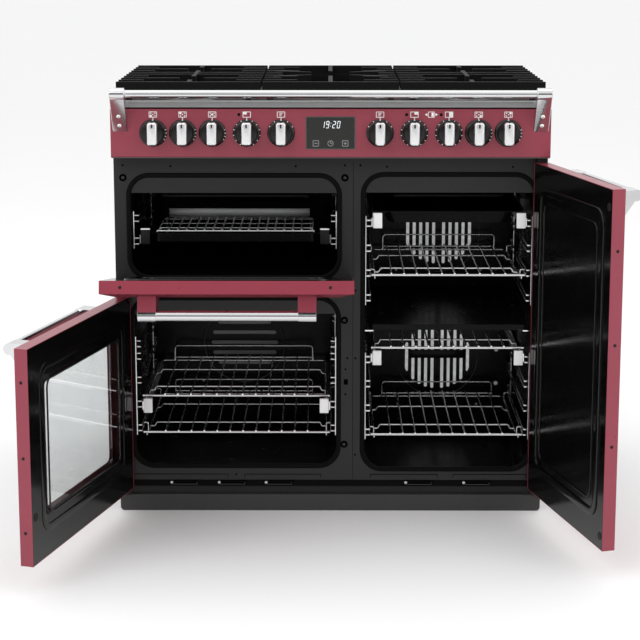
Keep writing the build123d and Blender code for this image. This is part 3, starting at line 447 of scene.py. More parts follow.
def add_to(shape, part, matrix=None):
    """Move a finished part of a shape into place and add it."""
    if matrix is not None:
        bmesh.ops.transform(part, matrix=matrix, verts=part.verts)
    mesh = bpy.data.meshes.new("part")
    part.to_mesh(mesh)
    part.free()
    shape.from_mesh(mesh)
    bpy.data.meshes.remove(mesh)


def block(shape, low, high, bevel=0.0, segments=3, matrix=None):
    """Add a box with rounded edges between two corners."""
    low, high = Vector(low), Vector(high)
    part = bmesh.new()
    bmesh.ops.create_cube(part, size=1.0)
    bmesh.ops.scale(part, vec=high - low, verts=part.verts)
    bmesh.ops.translate(part, vec=(low + high) / 2, verts=part.verts)
    if bevel:
        bmesh.ops.bevel(part, geom=part.edges[:], offset=bevel, segments=segments, profile=0.5,
                        affect="EDGES", material=-1)
    add_to(shape, part, matrix)


def turned(shape, profile, matrix, steps=32):
    """Add a turned shape: a profile of (radius, height) pairs spun about the local z axis."""
    part = bmesh.new()
    verts = [part.verts.new((radius, 0, height)) for radius, height in profile]
    edges = [part.edges.new(pair) for pair in zip(verts, verts[1:])]
    bmesh.ops.spin(part, geom=verts + edges, cent=(0, 0, 0), axis=(0, 0, 1), dvec=(0, 0, 0),
                   angle=2 * math.pi, steps=steps, use_merge=True)
    bmesh.ops.remove_doubles(part, verts=part.verts, dist=1e-7)
    add_to(shape, part, matrix)


def disc_profile(radius, height, edge):
    """The profile of a closed disc with a rounded top edge."""
    return [(0, 0), (radius, 0), (radius, height - edge),
            (radius - 0.3 * edge, height - 0.3 * edge), (radius - edge, height), (0, height)]


def rounded_plate(shape, width, height, corner, thickness, matrix, hole=0.0, bevel=0.0):
    """Add a plate with round corners, or a ring of it, standing on the local xy plane."""
    part = bmesh.new()
    half_w, half_h = width / 2, height / 2
    verts = [part.verts.new(place) for place in ((-half_w, -half_h, 0), (half_w, -half_h, 0),
                                                 (half_w, half_h, 0), (-half_w, half_h, 0))]
    part.faces.new(verts)
    bmesh.ops.bevel(part, geom=verts, offset=corner, segments=6, profile=0.5, affect="VERTICES",
                    material=-1)
    part.faces.ensure_lookup_table()
    plate = part.faces[0]
    base = [plate]
    if hole:
        base = bmesh.ops.inset_individual(part, faces=[plate], thickness=hole,
                                          use_even_offset=True)["faces"]
        bmesh.ops.delete(part, geom=[plate], context="FACES_ONLY")
    grown = bmesh.ops.extrude_face_region(part, geom=base)["geom"]
    raised = [item for item in grown if isinstance(item, bmesh.types.BMVert)]
    bmesh.ops.translate(part, vec=(0, 0, thickness), verts=raised)
    if bevel:
        top = set(raised)
        rims = [edge for edge in part.edges if set(edge.verts) <= top and len(edge.link_faces) == 2
                and edge.calc_face_angle(0) > 1.0]
        bmesh.ops.bevel(part, geom=rims, offset=bevel, segments=3, profile=0.5, affect="EDGES",
                        material=-1)
    add_to(shape, part, matrix)


def pipe(shape, points, radius, sides=12):
    """Add a round wire through points: one ring carried along the route, turned at each bend."""
    part = bmesh.new()
    ring = bmesh.ops.create_circle(part, cap_ends=False, radius=radius, segments=sides)["verts"]
    edges = list({edge for vert in ring for edge in vert.link_edges})
    first = (Vector(points[1]) - Vector(points[0])).normalized()
    turn = first.to_track_quat("Z", "Y").to_matrix().to_4x4()
    bmesh.ops.transform(part, matrix=Matrix.Translation(points[0]) @ turn, verts=ring)
    facing = first
    for index in range(1, len(points)):
        here, before = Vector(points[index]), Vector(points[index - 1])
        grown = bmesh.ops.extrude_edge_only(part, edges=edges)["geom"]
        ring = [item for item in grown if isinstance(item, bmesh.types.BMVert)]
        edges = [item for item in grown if isinstance(item, bmesh.types.BMEdge)]
        bmesh.ops.translate(part, vec=here - before, verts=ring)
        came = (here - before).normalized()
        ahead = (Vector(points[index + 1]) - here).normalized() if index + 1 < len(points) else came
        wanted = (ahead + came).normalized()
        bmesh.ops.rotate(part, cent=here, matrix=facing.rotation_difference(wanted).to_matrix(),
                         verts=ring)
        facing = wanted
    bmesh.ops.holes_fill(part, edges=[edge for edge in part.edges if edge.is_boundary], sides=sides)
    add_to(shape, part)


def facing_front(x, y, z):
    """A local frame on a surface that faces the front: x right, y up, z out of it."""
    return Matrix.Translation((x, y, z)) @ Matrix.Rotation(math.radians(90), 4, "X")


def door_frame(joint_name, base):
    """A door's local frame as it stands open: x along it, y up it, z out of its face."""
    joint = JOINTS[joint_name]
    pivot = Vector(joint["pos_m"])
    pivot[base] = 0.0
    opened = -joint["range_deg"][0]
    turn = Matrix.Rotation(math.radians(opened), 4, Vector(joint["axis"]))
    return Matrix.Translation(pivot) @ turn @ Matrix.Rotation(math.radians(90), 4, "X")


def sharp_copy(node, bevel):
    """A merged copy of a CAD node's mesh, with soft edges where a bevel is asked for."""
    shape = bmesh.new()
    shape.from_mesh(frame["nodes"][node].data)
    bmesh.ops.remove_doubles(shape, verts=shape.verts, dist=2e-6)
    bmesh.ops.dissolve_limit(shape, angle_limit=math.radians(0.4), verts=shape.verts, edges=shape.edges)
    for face in shape.faces:
        face.smooth = True
    for edge in shape.edges:
        edge.smooth = len(edge.link_faces) == 2 and edge.calc_face_angle(0) < SKIN_SMOOTH_BELOW
    mesh = bpy.data.meshes.new(f"{node}_skin")
    shape.to_mesh(mesh)
    shape.free()
    piece = place_mesh(f"{node}_skin", mesh, FINISH_OF.get(node, SLOTS[node]),
                       frame["nodes"][node]["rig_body"])
    if bevel:
        soft = piece.modifiers.new("soft_edges", "BEVEL")
        soft.width = bevel
        soft.segments = 2
        soft.limit_method = "ANGLE"
        soft.angle_limit = math.radians(50)
        soft.harden_normals = True
    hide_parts(node)
    return piece


# ------------------------------------------------------------------ pieces
FINISH_OF = {"burner_caps": "cap_enamel", "door_top_handle": "chrome_painted_reflection",
             "lower_rail": "recess_shade_black", "plinth": "plinth_grey", "door_left_inner": "door_black",
             "door_right_inner": "door_black", "door_top_inner": "door_black"}
EDGE_SOFTNESS = {
    "door_top_shell": 0.0012, "door_left_shell": 0.0012, "door_right_shell": 0.0012,
    "plinth": 0.0012, "hob_plate": 0.0004, "fascia": 0.0005, "pan_support_left": 0.0012,
    "pan_support_right": 0.0012, "pan_support_centre": 0.0012, "rail_brackets": 0.0012,
    "door_top_handle": 0.0008, "door_left_handle": 0.0008, "door_right_handle": 0.0008,
    "towel_rail": 0.0008, "oven_tray": 0.0004, "oven_divider": 0.0005, "gas_inlet": 0.0006,
    "burner_crowns": 0.0005, "clock_display": 0.0003, "hinge_brackets": 0.0006,
}


class RANGE_OT_carry_over(bpy.types.Operator):
    """Give every carried over piece its finish and soft edges"""

    bl_idname = "gas_range.carry_over"
    bl_label = "Finish the Structure"

    def execute(self, context):
        FINISHES.update(make_finishes(context.scene.range_colours))
        for node in frame["nodes"]:
            if not node.startswith("knob_"):
                sharp_copy(node, EDGE_SOFTNESS.get(node, 0.0))
        return {"FINISHED"}


class RANGE_OT_knobs(bpy.types.Operator):
    """Make the ten knobs, each with a marked skirt, a dial and a metal grip"""

    bl_idname = "gas_range.knobs"
    bl_label = "Knobs"

    def execute(self, context):
        sizes = context.scene.range_sizes
        for number in range(1, 11):
            node = f"knob_{number}"
            joint = JOINTS[f"{node}_turn"]
            place = joint["pos_m"]
            seat = facing_front(place[0], place[1], place[2])
            self.body(node, seat, sizes)
            self.marks(node, seat, sizes)
            self.grip(node, seat, sizes)
        return {"FINISHED"}

    def body(self, node, seat, sizes):
        """Skirt, dial and spindle, turned in one piece."""
        skirt, dial = sizes.knob_radius, sizes.dial_radius
        shape = bmesh.new()
        turned(shape, [(0, -0.018), (0.004, -0.018), (0.004, 0), (skirt - 0.0008, 0), (skirt, 0.0008),
                       (skirt, 0.0026), (skirt - 0.0016, 0.0042), (dial + 0.0022, 0.0052),
                       (dial + 0.0008, 0.0056), (dial, 0.0068), (dial - 0.0007, 0.0140),
                       (dial - 0.0018, 0.0157), (dial - 0.0042, 0.0164), (0.004, 0.0164), (0, 0.0164)],
               seat, 56)
        body = finish_piece(f"{node}_body", shape, "knob_black", node)
        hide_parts(node)

    def marks(self, node, seat, sizes):
        """Printed marks round the skirt: all round on an oven knob, to one side on a burner knob."""
        shape = bmesh.new()
        radius = (sizes.knob_radius + sizes.dial_radius) / 2 + 0.0012
        number = int(node.split("_")[1])
        turns = range(-150, 151, 25) if number in (4, 7, 8) else (0, 75, 90, 105, 120)
        if number in (5, 6):
            turns = range(-60, 61, 30)
        for turn in turns:
            place = (seat @ Matrix.Rotation(-math.radians(turn), 4, "Z") @
                     Matrix.Translation((0, radius, 0.0040)))
            wide = 0.0013 if turn == 0 else 0.0007
            block(shape, (-wide, -0.0013, -0.0008), (wide, 0.0015, 0.0006), 0.0001, 1, place)
        finish_piece(f"{node}_marks", shape, "print_white", node)

    def grip(self, node, seat, sizes):
        """The upright metal grip with a black pointer let into its top end."""
        rise = sizes.grip_reach - 0.0155
        shape = bmesh.new()
        rounded_plate(shape, sizes.grip_width, 0.0465, 0.0052, rise,
                      seat @ Matrix.Translation((0, 0, 0.0155)), bevel=0.0034)
        finish_piece(f"{node}_grip", shape, "grip_metal", node)
        pointer = bmesh.new()
        block(pointer, (-0.0017, 0.0125, sizes.grip_reach - 0.0008),
              (0.0017, 0.0205, sizes.grip_reach + 0.0001), 0.0001, 1, seat)
        block(pointer, (-0.0017, 0.0195, 0.0185), (0.0017, 0.0234, sizes.grip_reach - 0.0022),
              0.0001, 1, seat)
        finish_piece(f"{node}_pointer", pointer, "knob_black", node)


class RANGE_OT_fascia_signs(bpy.types.Operator):
    """Print the signs above the knobs and set the small lights beside them"""

    bl_idname = "gas_range.fascia_signs"
    bl_label = "Fascia Signs"

    def execute(self, context):
        size = context.scene.range_sizes.sign_size
        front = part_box("fascia")[0].y
        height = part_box("fascia")[1].z - 0.0115
        signs, lights = bmesh.new(), bmesh.new()
        for number in range(1, 11):
            x = JOINTS[f"knob_{number}_turn"]["pos_m"][0]
            self.sign(signs, x, front, height, size, number)
            if number in (4, 7, 8):
                turned(lights, disc_profile(0.0031, 0.0009, 0.0004),
                       facing_front(x - 0.0160, front + 0.0002, height), 20)
        self.arrow_sign(signs, 0.2055, front, height, size)
        finish_piece("fascia_signs", signs, "print_white", "range")
        finish_piece("fascia_lights", lights, "seal", "range")
        self.lip()
        return {"FINISHED"}

    def sign(self, shape, x, front, height, size, number):
        """An outline that shows which burner or oven the knob serves, and a stem to the knob."""
        where = facing_front(x, front + 0.0001, height)
        width = size * 1.36
        rounded_plate(shape, width, size, 0.0010, 0.00022, where, hole=0.0013)
        block(shape, (-0.0008, -size / 2 - 0.0058, 0), (0.0008, -size / 2, 0.0002), 0, 1, where)
        burners = {1: 0, 2: 1, 3: 4, 9: 2, 10: 3}
        spots = ((-1, -1), (-1, 1), (1, -1), (1, 1), (0, 0))
        if number in burners:
            for index, (sx, sy) in enumerate(spots):
                radius = 0.0025 if index == burners[number] else 0.0013
                turned(shape, disc_profile(radius, 0.0002, 0.00005),
                       where @ Matrix.Translation((sx * width * 0.25, sy * size * 0.23, 0)), 14)
        elif number in (4, 7, 8):
            side = {4: -1, 7: 1, 8: 1}[number]
            low = -0.5 if number == 8 else 0.0
            x_low, x_high = sorted((0.0, side * width * 0.5))
            block(shape, (x_low, low * size, 0), (x_high, size * 0.5, 0.0002), 0, 1, where)
        else:
            for level in range(3):
                y = (level - 1) * size * 0.21
                block(shape, (-width * 0.22, y - 0.0006, 0),
                      (width * (0.04 + 0.07 * level), y + 0.0006, 0.0002), 0, 1, where)

    def arrow_sign(self, shape, x, front, height, size):
        """The sign of the telescopic runner, a half filled square between two arrows."""
        where = facing_front(x, front + 0.0001, height)
        rounded_plate(shape, size * 1.1, size, 0.0008, 0.0002, where, hole=0.0011)
        block(shape, (0.0002, -size * 0.34, 0), (size * 0.40, size * 0.34, 0.0002), 0, 1, where)
        for side in (-1, 1):
            for step in range(4):
                near, far = size * 0.67 + step * 0.0011, size * 0.67 + (step + 1) * 0.0011
                low, high = sorted((side * near, side * far))
                half = 0.0029 - step * 0.0007
                block(shape, (low, -half, 0), (high, half, 0.0002), 0, 1, where)

    def lip(self):
        """The grey returned edge along the bottom of the fascia."""
        low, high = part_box("fascia")
        shape = bmesh.new()
        block(shape, (low.x + 0.001, low.y - 0.0003, low.z - 0.0012),
              (high.x - 0.001, low.y + 0.012, low.z + 0.0006), 0.0003, 2)
        finish_piece("fascia_lip", shape, "lip_grey", "range")


SEGMENT_PLACES = {"a": ("x", 0, 1), "g": ("x", 0, 0), "d": ("x", 0, -1), "f": ("y", -1, 0.5),
                  "b": ("y", 1, 0.5), "e": ("y", -1, -0.5), "c": ("y", 1, -0.5)}
SEGMENTS = {"0": "abcdef", "1": "bc", "2": "abged", "3": "abgcd", "4": "fgbc", "5": "afgcd",
            "6": "afgecd", "7": "abc", "8": "abcdefg", "9": "abcdfg"}


class RANGE_OT_clock(bpy.types.Operator):
    """Make the clock's border, the time and the three touch signs"""

    bl_idname = "gas_range.clock"
    bl_label = "Clock"

    def execute(self, context):
        low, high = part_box("clock_display")
        middle = (low + high) / 2
        width, height = high.x - low.x, high.z - low.z
        front = facing_front(middle.x, low.y, middle.z)
        border = bmesh.new()
        rounded_plate(border, width + 0.0012, height + 0.0012, 0.0016, 0.0007, front, hole=0.0015,
                      bevel=0.0002)
        finish_piece("clock_border", border, "clock_rim", "range")
        keys = bmesh.new()
        for index, x in enumerate(CLOCK_KEYS):
            key = front @ Matrix.Translation((x, -0.0215, 0.0001))
            if index != 1:
                rounded_plate(keys, 0.0125, 0.0125, 0.0016, 0.0002, key, hole=0.0011)
                block(keys, (-0.0030, -0.0007, 0), (0.0030, 0.0007, 0.0002), 0, 1, key)
            if index == 2:
                block(keys, (-0.0007, -0.0030, 0), (0.0007, 0.0030, 0.00021), 0, 1, key)
            if index == 1:
                turned(keys, [(0.0049, 0), (0.0060, 0), (0.0060, 0.0002), (0.0049, 0.0002), (0.0049, 0)],
                       key, 28)
                block(keys, (-0.0006, 0, 0), (0.0006, 0.0040, 0.00022), 0, 1, key)
                block(keys, (0, -0.0006, 0), (0.0032, 0.0006, 0.00021), 0, 1, key)
        finish_piece("clock_keys", keys, "key_light", "range")
        digits = bmesh.new()
        self.digits(digits, context.scene.range_sizes.clock_time,
                    front @ Matrix.Translation((0.0015, 0.0170, 0.0001)))
        finish_piece("clock_digits", digits, "digit_light", "range")
        return {"FINISHED"}

    def digits(self, shape, words, front):
        """The time in slanted seven segment figures."""
        wide, tall, stroke = 0.0060, 0.0146, 0.0011
        slant = Matrix.Identity(4)
        slant[0][1] = 0.14
        x = -0.0196
        for letter in words:
            if letter == ":":
                for y in (-0.0030, 0.0030):
                    block(shape, (-stroke / 2, y - stroke / 2, 0), (stroke / 2, y + stroke / 2, 0.0002),
                          0, 1, front @ slant @ Matrix.Translation((x + 0.0002, 0, 0)))
                x += 0.0040
                continue
            here = front @ slant @ Matrix.Translation((x + wide / 2, 0, 0))
            for name in SEGMENTS[letter]:
                along, cx, cy = SEGMENT_PLACES[name]
                long_x = wide * 0.5 - stroke * 0.62 if along == "x" else stroke / 2
                long_y = tall * 0.25 - stroke * 0.62 if along == "y" else stroke / 2
                middle = (cx * (wide - stroke) / 2, cy * (tall - stroke) / 2)
                block(shape, (middle[0] - long_x, middle[1] - long_y, 0),
                      (middle[0] + long_x, middle[1] + long_y, 0.0002), 0, 1, here)
            x += wide + 0.0032


def screw(shape, matrix, radius=0.0035):
    """Add a low dome screw head with a cross recess standing on the local xy plane."""
    turned(shape, [(0, 0), (radius, 0), (radius, 0.0004), (radius * 0.85, 0.0013), (radius * 0.5, 0.0019),
                   (0, 0.0021)], matrix, 20)


def screw_slots(shape, matrix, radius=0.0035):
    """Add the cross recess of a screw head as a raised black cross: painted shade of the recess."""
    long_side, thin = radius * 0.55, radius * 0.12
    block(shape, (-long_side, -thin, 0.0017), (long_side, thin, 0.00215), 0, 1, matrix)
    block(shape, (-thin, -long_side, 0.0017), (thin, long_side, 0.00216), 0, 1, matrix)


class RANGE_OT_frame_fittings(bpy.types.Operator):
    """Add catches, screws, holes and the louvre hoods to the front frame"""

    bl_idname = "gas_range.frame_fittings"
    bl_label = "Frame Fittings"

    def execute(self, context):
        catches, screws, slots, holes = (bmesh.new() for _ in range(4))
        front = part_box("front_frame")[0].y
        for x, z in FRAME_CATCHES:
            here = facing_front(x * MM, front, z * MM)
            turned(catches, [(0.0030, 0.0006), (0.0046, 0.0006), (0.0058, 0.0016), (0.0070, 0.0017),
                             (0.0077, 0.0010), (0.0079, 0)], here, 32)
            screw(screws, here @ Matrix.Translation((0, 0, 0.0004)), 0.0032)
            screw_slots(slots, here @ Matrix.Translation((0, 0, 0.0004)), 0.0032)
        # Each hole is a black disc on the frame: painted shade of the opening.
        for x, z in FRAME_HOLES:
            turned(holes, disc_profile(0.0022, 0.00022, 0.00005),
                   facing_front(x * MM, front, z * MM), 16)
        rounded_plate(holes, 0.009, 0.012, 0.001, 0.00022, facing_front(0.033, front, 0.285))
        block(holes, (0.0472, front - 0.00012, 0.070), (0.0480, front + 0.0004, 0.755))
        self.louvres(holes)
        finish_piece("frame_catches", catches, "hole_black", "range")
        finish_piece("frame_screws", screws, "ring_grey", "range")
        finish_piece("frame_screw_slots", slots, "hole_black", "range")
        finish_piece("frame_holes", holes, "hole_black", "range")
        self.bracket_screws()
        return {"FINISHED"}

    def louvres(self, gaps):
        """A pressed lip and a stud on each slot of the lower rail, and the notched seam above it."""
        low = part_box("lower_rail")[0]
        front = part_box("front_frame")[0].y
        lips, studs = bmesh.new(), bmesh.new()
        for x in LOUVRES:
            left, right = (x - 27) * MM, (x + 27) * MM
            block(lips, (left, low.y - 0.0001, 0.0596), (right, low.y + 0.0010, 0.0608), 0.0003, 2)
            for end in (left, right - 0.0012):
                block(lips, (end, low.y - 0.0002, 0.0600), (end + 0.0012, low.y + 0.0010, 0.0650), 0.0003, 2)
            # The slot of each louvre is a black strip: painted shade of the opening.
            block(gaps, (left, low.y - 0.0001, 0.0612), (right, low.y + 0.0004, 0.0648))
            turned(studs, disc_profile(0.0030, 0.0004, 0.0002), facing_front(left - 0.001, low.y, 0.0642), 20)
        for left, right in SEAMS:
            block(gaps, (left, front - 0.0001, 0.0805), (right, front + 0.0003, 0.0822))
            for end in (left, right - 0.0012):
                block(gaps, (end, front - 0.0001, 0.0735), (end + 0.0012, front + 0.00032, 0.0820))
        finish_piece("louvre_lips", lips, "ring_grey", "range")
        finish_piece("louvre_studs", studs, "runner_steel", "range")

    def bracket_screws(self):
        """Two dome screws in each bracket of the towel rail."""
        heads, slots = bmesh.new(), bmesh.new()
        for side in (-1, 1):
            for z in (0.856, 0.836):
                lean = Matrix.Rotation(math.atan2(0.0474, 0.070), 4, "X")
                here = facing_front(side * 0.430, self.face_depth(z), z) @ lean
                screw(heads, here, 0.0042)
                screw_slots(slots, here, 0.0030)
        finish_piece("bracket_screws", heads, "cap_white", "range")
        finish_piece("bracket_screw_slots", slots, "hole_black", "range")

    @staticmethod
    def face_depth(z):
        """Depth of a bracket's sloping front face at a height."""
        bottom_y, bottom_z, top_y, top_z = -0.0386, 0.822, -0.086, 0.892
        return bottom_y + (top_y - bottom_y) * (z - bottom_z) / (top_z - bottom_z)


class RANGE_OT_door_details(bpy.types.Operator):
    """Add embossed linings, catches and plugs to the three doors"""

    bl_idname = "gas_range.door_details"
    bl_label = "Door Details"

    def execute(self, context):
        self.lining("door_top", door_frame("door_top_drop", 0), -0.2015, 0.121, 0.415, 0.186, -0.017,
                    (0.016, 0.0026), 0.0030)
        self.lining("door_left", door_frame("door_left_swing", 2), 0.2325, 0.2675, 0.405, 0.330, -0.014,
                    (0.014, 0.0013), 0.005)
        self.lining("door_right", door_frame("door_right_swing", 2), -0.188, 0.411, 0.330, 0.606, -0.0135,
                    (0.016, 0.0026), 0.0030)
        self.window(door_frame("door_left_swing", 2))
        self.plugs()
        return {"FINISHED"}

    def lining(self, body, local, x, y, width, height, back, outer, inner):
        """A raised ring, wide and high, on a door's inner panel, and a narrower ring in it."""
        turn = local @ Matrix.Translation((x, y, back)) @ Matrix.Rotation(math.pi, 4, "Y")
        shape = bmesh.new()
        rounded_plate(shape, width, height, 0.034, outer[1], turn, hole=outer[0], bevel=outer[1] * 0.42)
        rounded_plate(shape, width - 0.06, height - 0.06, 0.022, 0.0017, turn, hole=inner, bevel=0.0007)
        finish_piece(f"{body}_lining", shape, "door_black", body)

    def window(self, local):
        """The black rim round the window, on the inner side."""
        turn = local @ Matrix.Translation((0.2385, 0.2675, -0.0141)) @ Matrix.Rotation(math.pi, 4, "Y")
        rim = bmesh.new()
        rounded_plate(rim, 0.359, 0.265, 0.012, 0.0012, turn, hole=0.0045, bevel=0.0005)
        finish_piece("door_left_window_rim", rim, "black_steel", "door_left")

    def plugs(self):
        """Hole plugs in the door ends and the round catch plates inside the right door."""
        right, left, top = (door_frame(*pair) for pair in (
            ("door_right_swing", 2), ("door_left_swing", 2), ("door_top_drop", 0)))
        side_plug = [(0, 0), (0.0032, 0), (0.0032, 0.0003), (0.0024, 0.0008), (0, 0.0009)]
        shape = bmesh.new()
        for z in (0.460, 0.262, 0.640):
            turned(shape, side_plug, right @ Matrix.Translation((-0.3855, z, 0.0)) @
                   Matrix.Rotation(-math.pi / 2, 4, "Y"), 20)
        finish_piece("door_right_plugs", shape, "black_steel", "door_right")
        shape = bmesh.new()
        for z in (0.265, 0.120, 0.410):
            turned(shape, side_plug, left @ Matrix.Translation((0.480, z, 0.0)) @
                   Matrix.Rotation(math.pi / 2, 4, "Y"), 20)
        finish_piece("door_left_plugs", shape, "black_steel", "door_left")
        shape = bmesh.new()
        for x in (-0.408, 0.0):
            turned(shape, side_plug, top @ Matrix.Translation((x, 0.260, -0.004)) @
                   Matrix.Rotation(-math.pi / 2, 4, "X"), 20)
        finish_piece("door_top_plugs", shape, "black_steel", "door_top")
        shape = bmesh.new()
        plate = [(0, 0.0008), (0.0055, 0.0008), (0.0068, 0.0012), (0.0078, 0.0008), (0.008, 0)]
        for z in (0.722, 0.082):
            turned(shape, plate, right @ Matrix.Translation((-0.372, z, -0.0135)) @
                   Matrix.Rotation(math.pi, 4, "Y"), 28)
        finish_piece("door_right_catch_plates", shape, "black_steel", "door_right")
        shape = bmesh.new()
        for z in (0.419, 0.148):
            turned(shape, plate, left @ Matrix.Translation((0.4635, z, -0.014)) @
                   Matrix.Rotation(math.pi, 4, "Y"), 28)
        finish_piece("door_left_catch_plates", shape, "black_steel", "door_left")


class RANGE_OT_oven_fittings(bpy.types.Operator):
    """Add fan wheels, lamps, the grill element and wall screws inside the ovens"""

    bl_idname = "gas_range.oven_fittings"
    bl_label = "Oven Fittings"

    FANS = ((0.251, 0.241), (0.251, 0.540), (-0.200, 0.275))

    def execute(self, context):
        cover_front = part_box("fan_covers")[0].y
        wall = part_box("liner_right")[1].y - 0.0012
        wheels, dim_glow_paint_wheel, rings, lamps, bezels, screws, shade_strips = (bmesh.new() for _ in range(7))
        for index, (x, z) in enumerate(self.FANS):
            here = facing_front(x, wall - 0.0002, z)
            # The wheels glow with painted light, bright behind the two right covers and dim in the left oven.
            bright = index < 2
            target = wheels if bright else dim_glow_paint_wheel
            if bright:
                # A black band across each bright cover: painted shade over the slots.
                base, height = ((z - 0.003, 0.020), (z - 0.041, 0.008))[index]
                block(shade_strips, (x - 0.068, cover_front - 0.0008, base),
                      (x + 0.068, cover_front + 0.0006, base + height), 0.0003, 2)
            turned(target, [(0, 0.0006), (0.080, 0.0006), (0.080, 0.0016), (0, 0.0016)], here, 48)
            for blade in range(24):
                turn = here @ Matrix.Rotation(math.radians(blade * 15), 4, "Z")
                block(target, (0.052, -0.0005, 0.0014), (0.079, 0.0005, 0.0036), 0, 1, turn)
            turned(rings, [(0.0935, 0), (0.0935, 0.0010), (0.0945, 0.0014), (0.0955, 0.0010), (0.0955, 0),
                           (0.0935, 0)], facing_front(x, cover_front, z), 56)
            for sx in (-1, 1):
                for sz in (-1, 1):
                    screw(screws, facing_front(x + sx * 0.098, cover_front, z + sz * 0.091), 0.003)
        for x, z in OVEN_LAMPS:
            here = facing_front(x, wall, z)
            turned(bezels, [(0.0082, 0), (0.0082, 0.002), (0.0052, 0.0026), (0.0050, 0)], here, 24)
            turned(lamps, [(0, 0.0032), (0.002, 0.0029), (0.0038, 0.0020), (0.0044, 0.0002),
                           (0, 0.0002)], here, 24)
        finish_piece("painted_glow_wheels", wheels, "glow_paint_wheel", "range")
        finish_piece("painted_glow_wheel_left", dim_glow_paint_wheel, "dim_glow_paint_wheel", "range")
        finish_piece("fan_shade_strips", shade_strips, "black_enamel", "range")
        finish_piece("fan_rings", rings, "ring_grey", "range")
        finish_piece("lamp_bezels", bezels, "black_steel", "range")
        finish_piece("oven_lamps", lamps, "lamp_glass", "range")
        self.ceiling_elements(wall)
        self.pegs(screws, wall)
        finish_piece("oven_screws", screws, "runner_steel", "range")
        return {"FINISHED"}

    def ceiling_elements(self, wall):
        """A looped heating element under the ceiling of each oven."""
        for name, passes in (("top", 5), ("left", 4), ("right", 4)):
            low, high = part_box(f"liner_{name}")
            shape = bmesh.new()
            height = high.z - 0.016
            left, right = low.x + 0.07, high.x - 0.07
            points = [(left + 0.02, wall - 0.001, height)]
            for index in range(passes):
                y = wall - 0.03 - index * (wall - 0.09) / (passes - 1)
                ends = (left, right) if index % 2 == 0 else (right, left)
                inner = 0.012 if index % 2 == 0 else -0.012
                points += [(ends[0], y + 0.006, height), (ends[0] + inner, y, height),
                           (ends[1] - inner, y, height), (ends[1], y - 0.006, height)]
            pipe(shape, points, 0.0032)
            finish_piece(f"element_{name}", shape, "black_steel", "range")

    def pegs(self, screws, wall):
        """Screw heads on the rear walls, beside the covers."""
        for x, z in WALL_SCREWS:
            screw(screws, facing_front(x, wall, z), 0.0030)


class RANGE_OT_runner_caps(bpy.types.Operator):
    """Put a moulded cap on the front of each telescopic runner"""

    bl_idname = "gas_range.runner_caps"
    bl_label = "Runner Caps"

    CAPS = (
        ("shelf_left_upper", "runners_left", "cap_white", 0.2435, 0.030),
        ("shelf_right_middle", "runners_right_middle", "cap_white", 0.349, 0.030),
        ("oven_tray", "runners_right_top", "cap_white", 0.645, 0.031),
        ("grill_pan", "grill_pan", "black_steel", 0.6095, 0.029),
    )

    def execute(self, context):
        inset = 0.0014
        for body, node, finish, top, height in self.CAPS:
            low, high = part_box(node)
            shape = bmesh.new()
            for left in (low.x + inset, high.x - inset - 0.018):
                block(shape, (left - 0.0004, low.y - 0.0016, top - height - 0.0006),
                      (left + 0.0184, low.y + 0.0046, top + 0.0006), 0.0012, 3)
            finish_piece(f"{node}_caps", shape, finish, body)
            if node == "grill_pan":
                bright = bmesh.new()
                for left in (low.x + inset, high.x - inset - 0.018):
                    block(bright, (left - 0.0006, low.y - 0.0018, top + 0.0002),
                          (left + 0.0186, low.y + 0.0050, top + 0.0028), 0.0008, 2)
                finish_piece("grill_pan_cap_tops", bright, "cap_white", body)
        self.drip_guard()
        return {"FINISHED"}

    def drip_guard(self):
        """The bright plate that stands against the rear wall of the grill pan."""
        low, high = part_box("grill_trivet")
        shape = bmesh.new()
        block(shape, (low.x + 0.012, high.y + 0.0010, high.z - 0.004),
              (high.x - 0.012, high.y + 0.0026, high.z + 0.0165), 0.0006, 2)
        finish_piece("grill_pan_guard", shape, "runner_steel", "grill_pan")


class RANGE_OT_hob_details(bpy.types.Operator):
    """Add spark plugs, flame sensors and pressed rings round the burners"""

    bl_idname = "gas_range.hob_details"
    bl_label = "Hob Details"

    BURNERS = ((-0.2915, 0.088, 0.036), (-0.2915, 0.308, 0.036), (0.2915, 0.088, 0.036),
               (0.2915, 0.308, 0.036), (0.0, 0.198, 0.060))

    def execute(self, context):
        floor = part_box("burner_crowns")[0].z + 0.022
        rings, plugs, tips = (bmesh.new() for _ in range(3))
        for x, y, radius in self.BURNERS:
            outer = radius + 0.026
            turned(rings, [(radius, 0), (radius + 0.004, 0.0012), (outer - 0.006, 0.0022),
                           (outer - 0.002, 0.0016), (outer, 0)], Matrix.Translation((x, y, floor)), 64)
            for sign, reach in ((1, 0.019), (-1, 0.022)):
                aside = (radius + 0.0045) * 0.72
                spot = Matrix.Translation((x + sign * aside, y - aside, floor))
                turned(plugs, [(0, 0), (0.0042, 0), (0.0042, 0.003), (0.0028, 0.004), (0.0028, reach - 0.006),
                               (0, reach - 0.006)], spot, 18)
                turned(tips, [(0, reach - 0.007), (0.0011, reach - 0.007), (0.0011, reach - 0.0006),
                              (0, reach)], spot, 12)
        self.rear_bar()
        finish_piece("burner_rings", rings, "hob_steel", "range")
        finish_piece("spark_plugs", plugs, "ceramic", "range")
        finish_piece("spark_tips", tips, "runner_steel", "range")
        return {"FINISHED"}

    def rear_bar(self):
        """The deep lower edge of the rear bar of the middle pan support."""
        shape = bmesh.new()
        low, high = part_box("pan_support_centre")
        block(shape, (low.x + 0.004, 0.4084, 0.8850), (high.x - 0.004, 0.4164, 0.9070), 0.0008, 2)
        finish_piece("pan_support_rear_bar", shape, "cast_iron", "pan_support_centre")


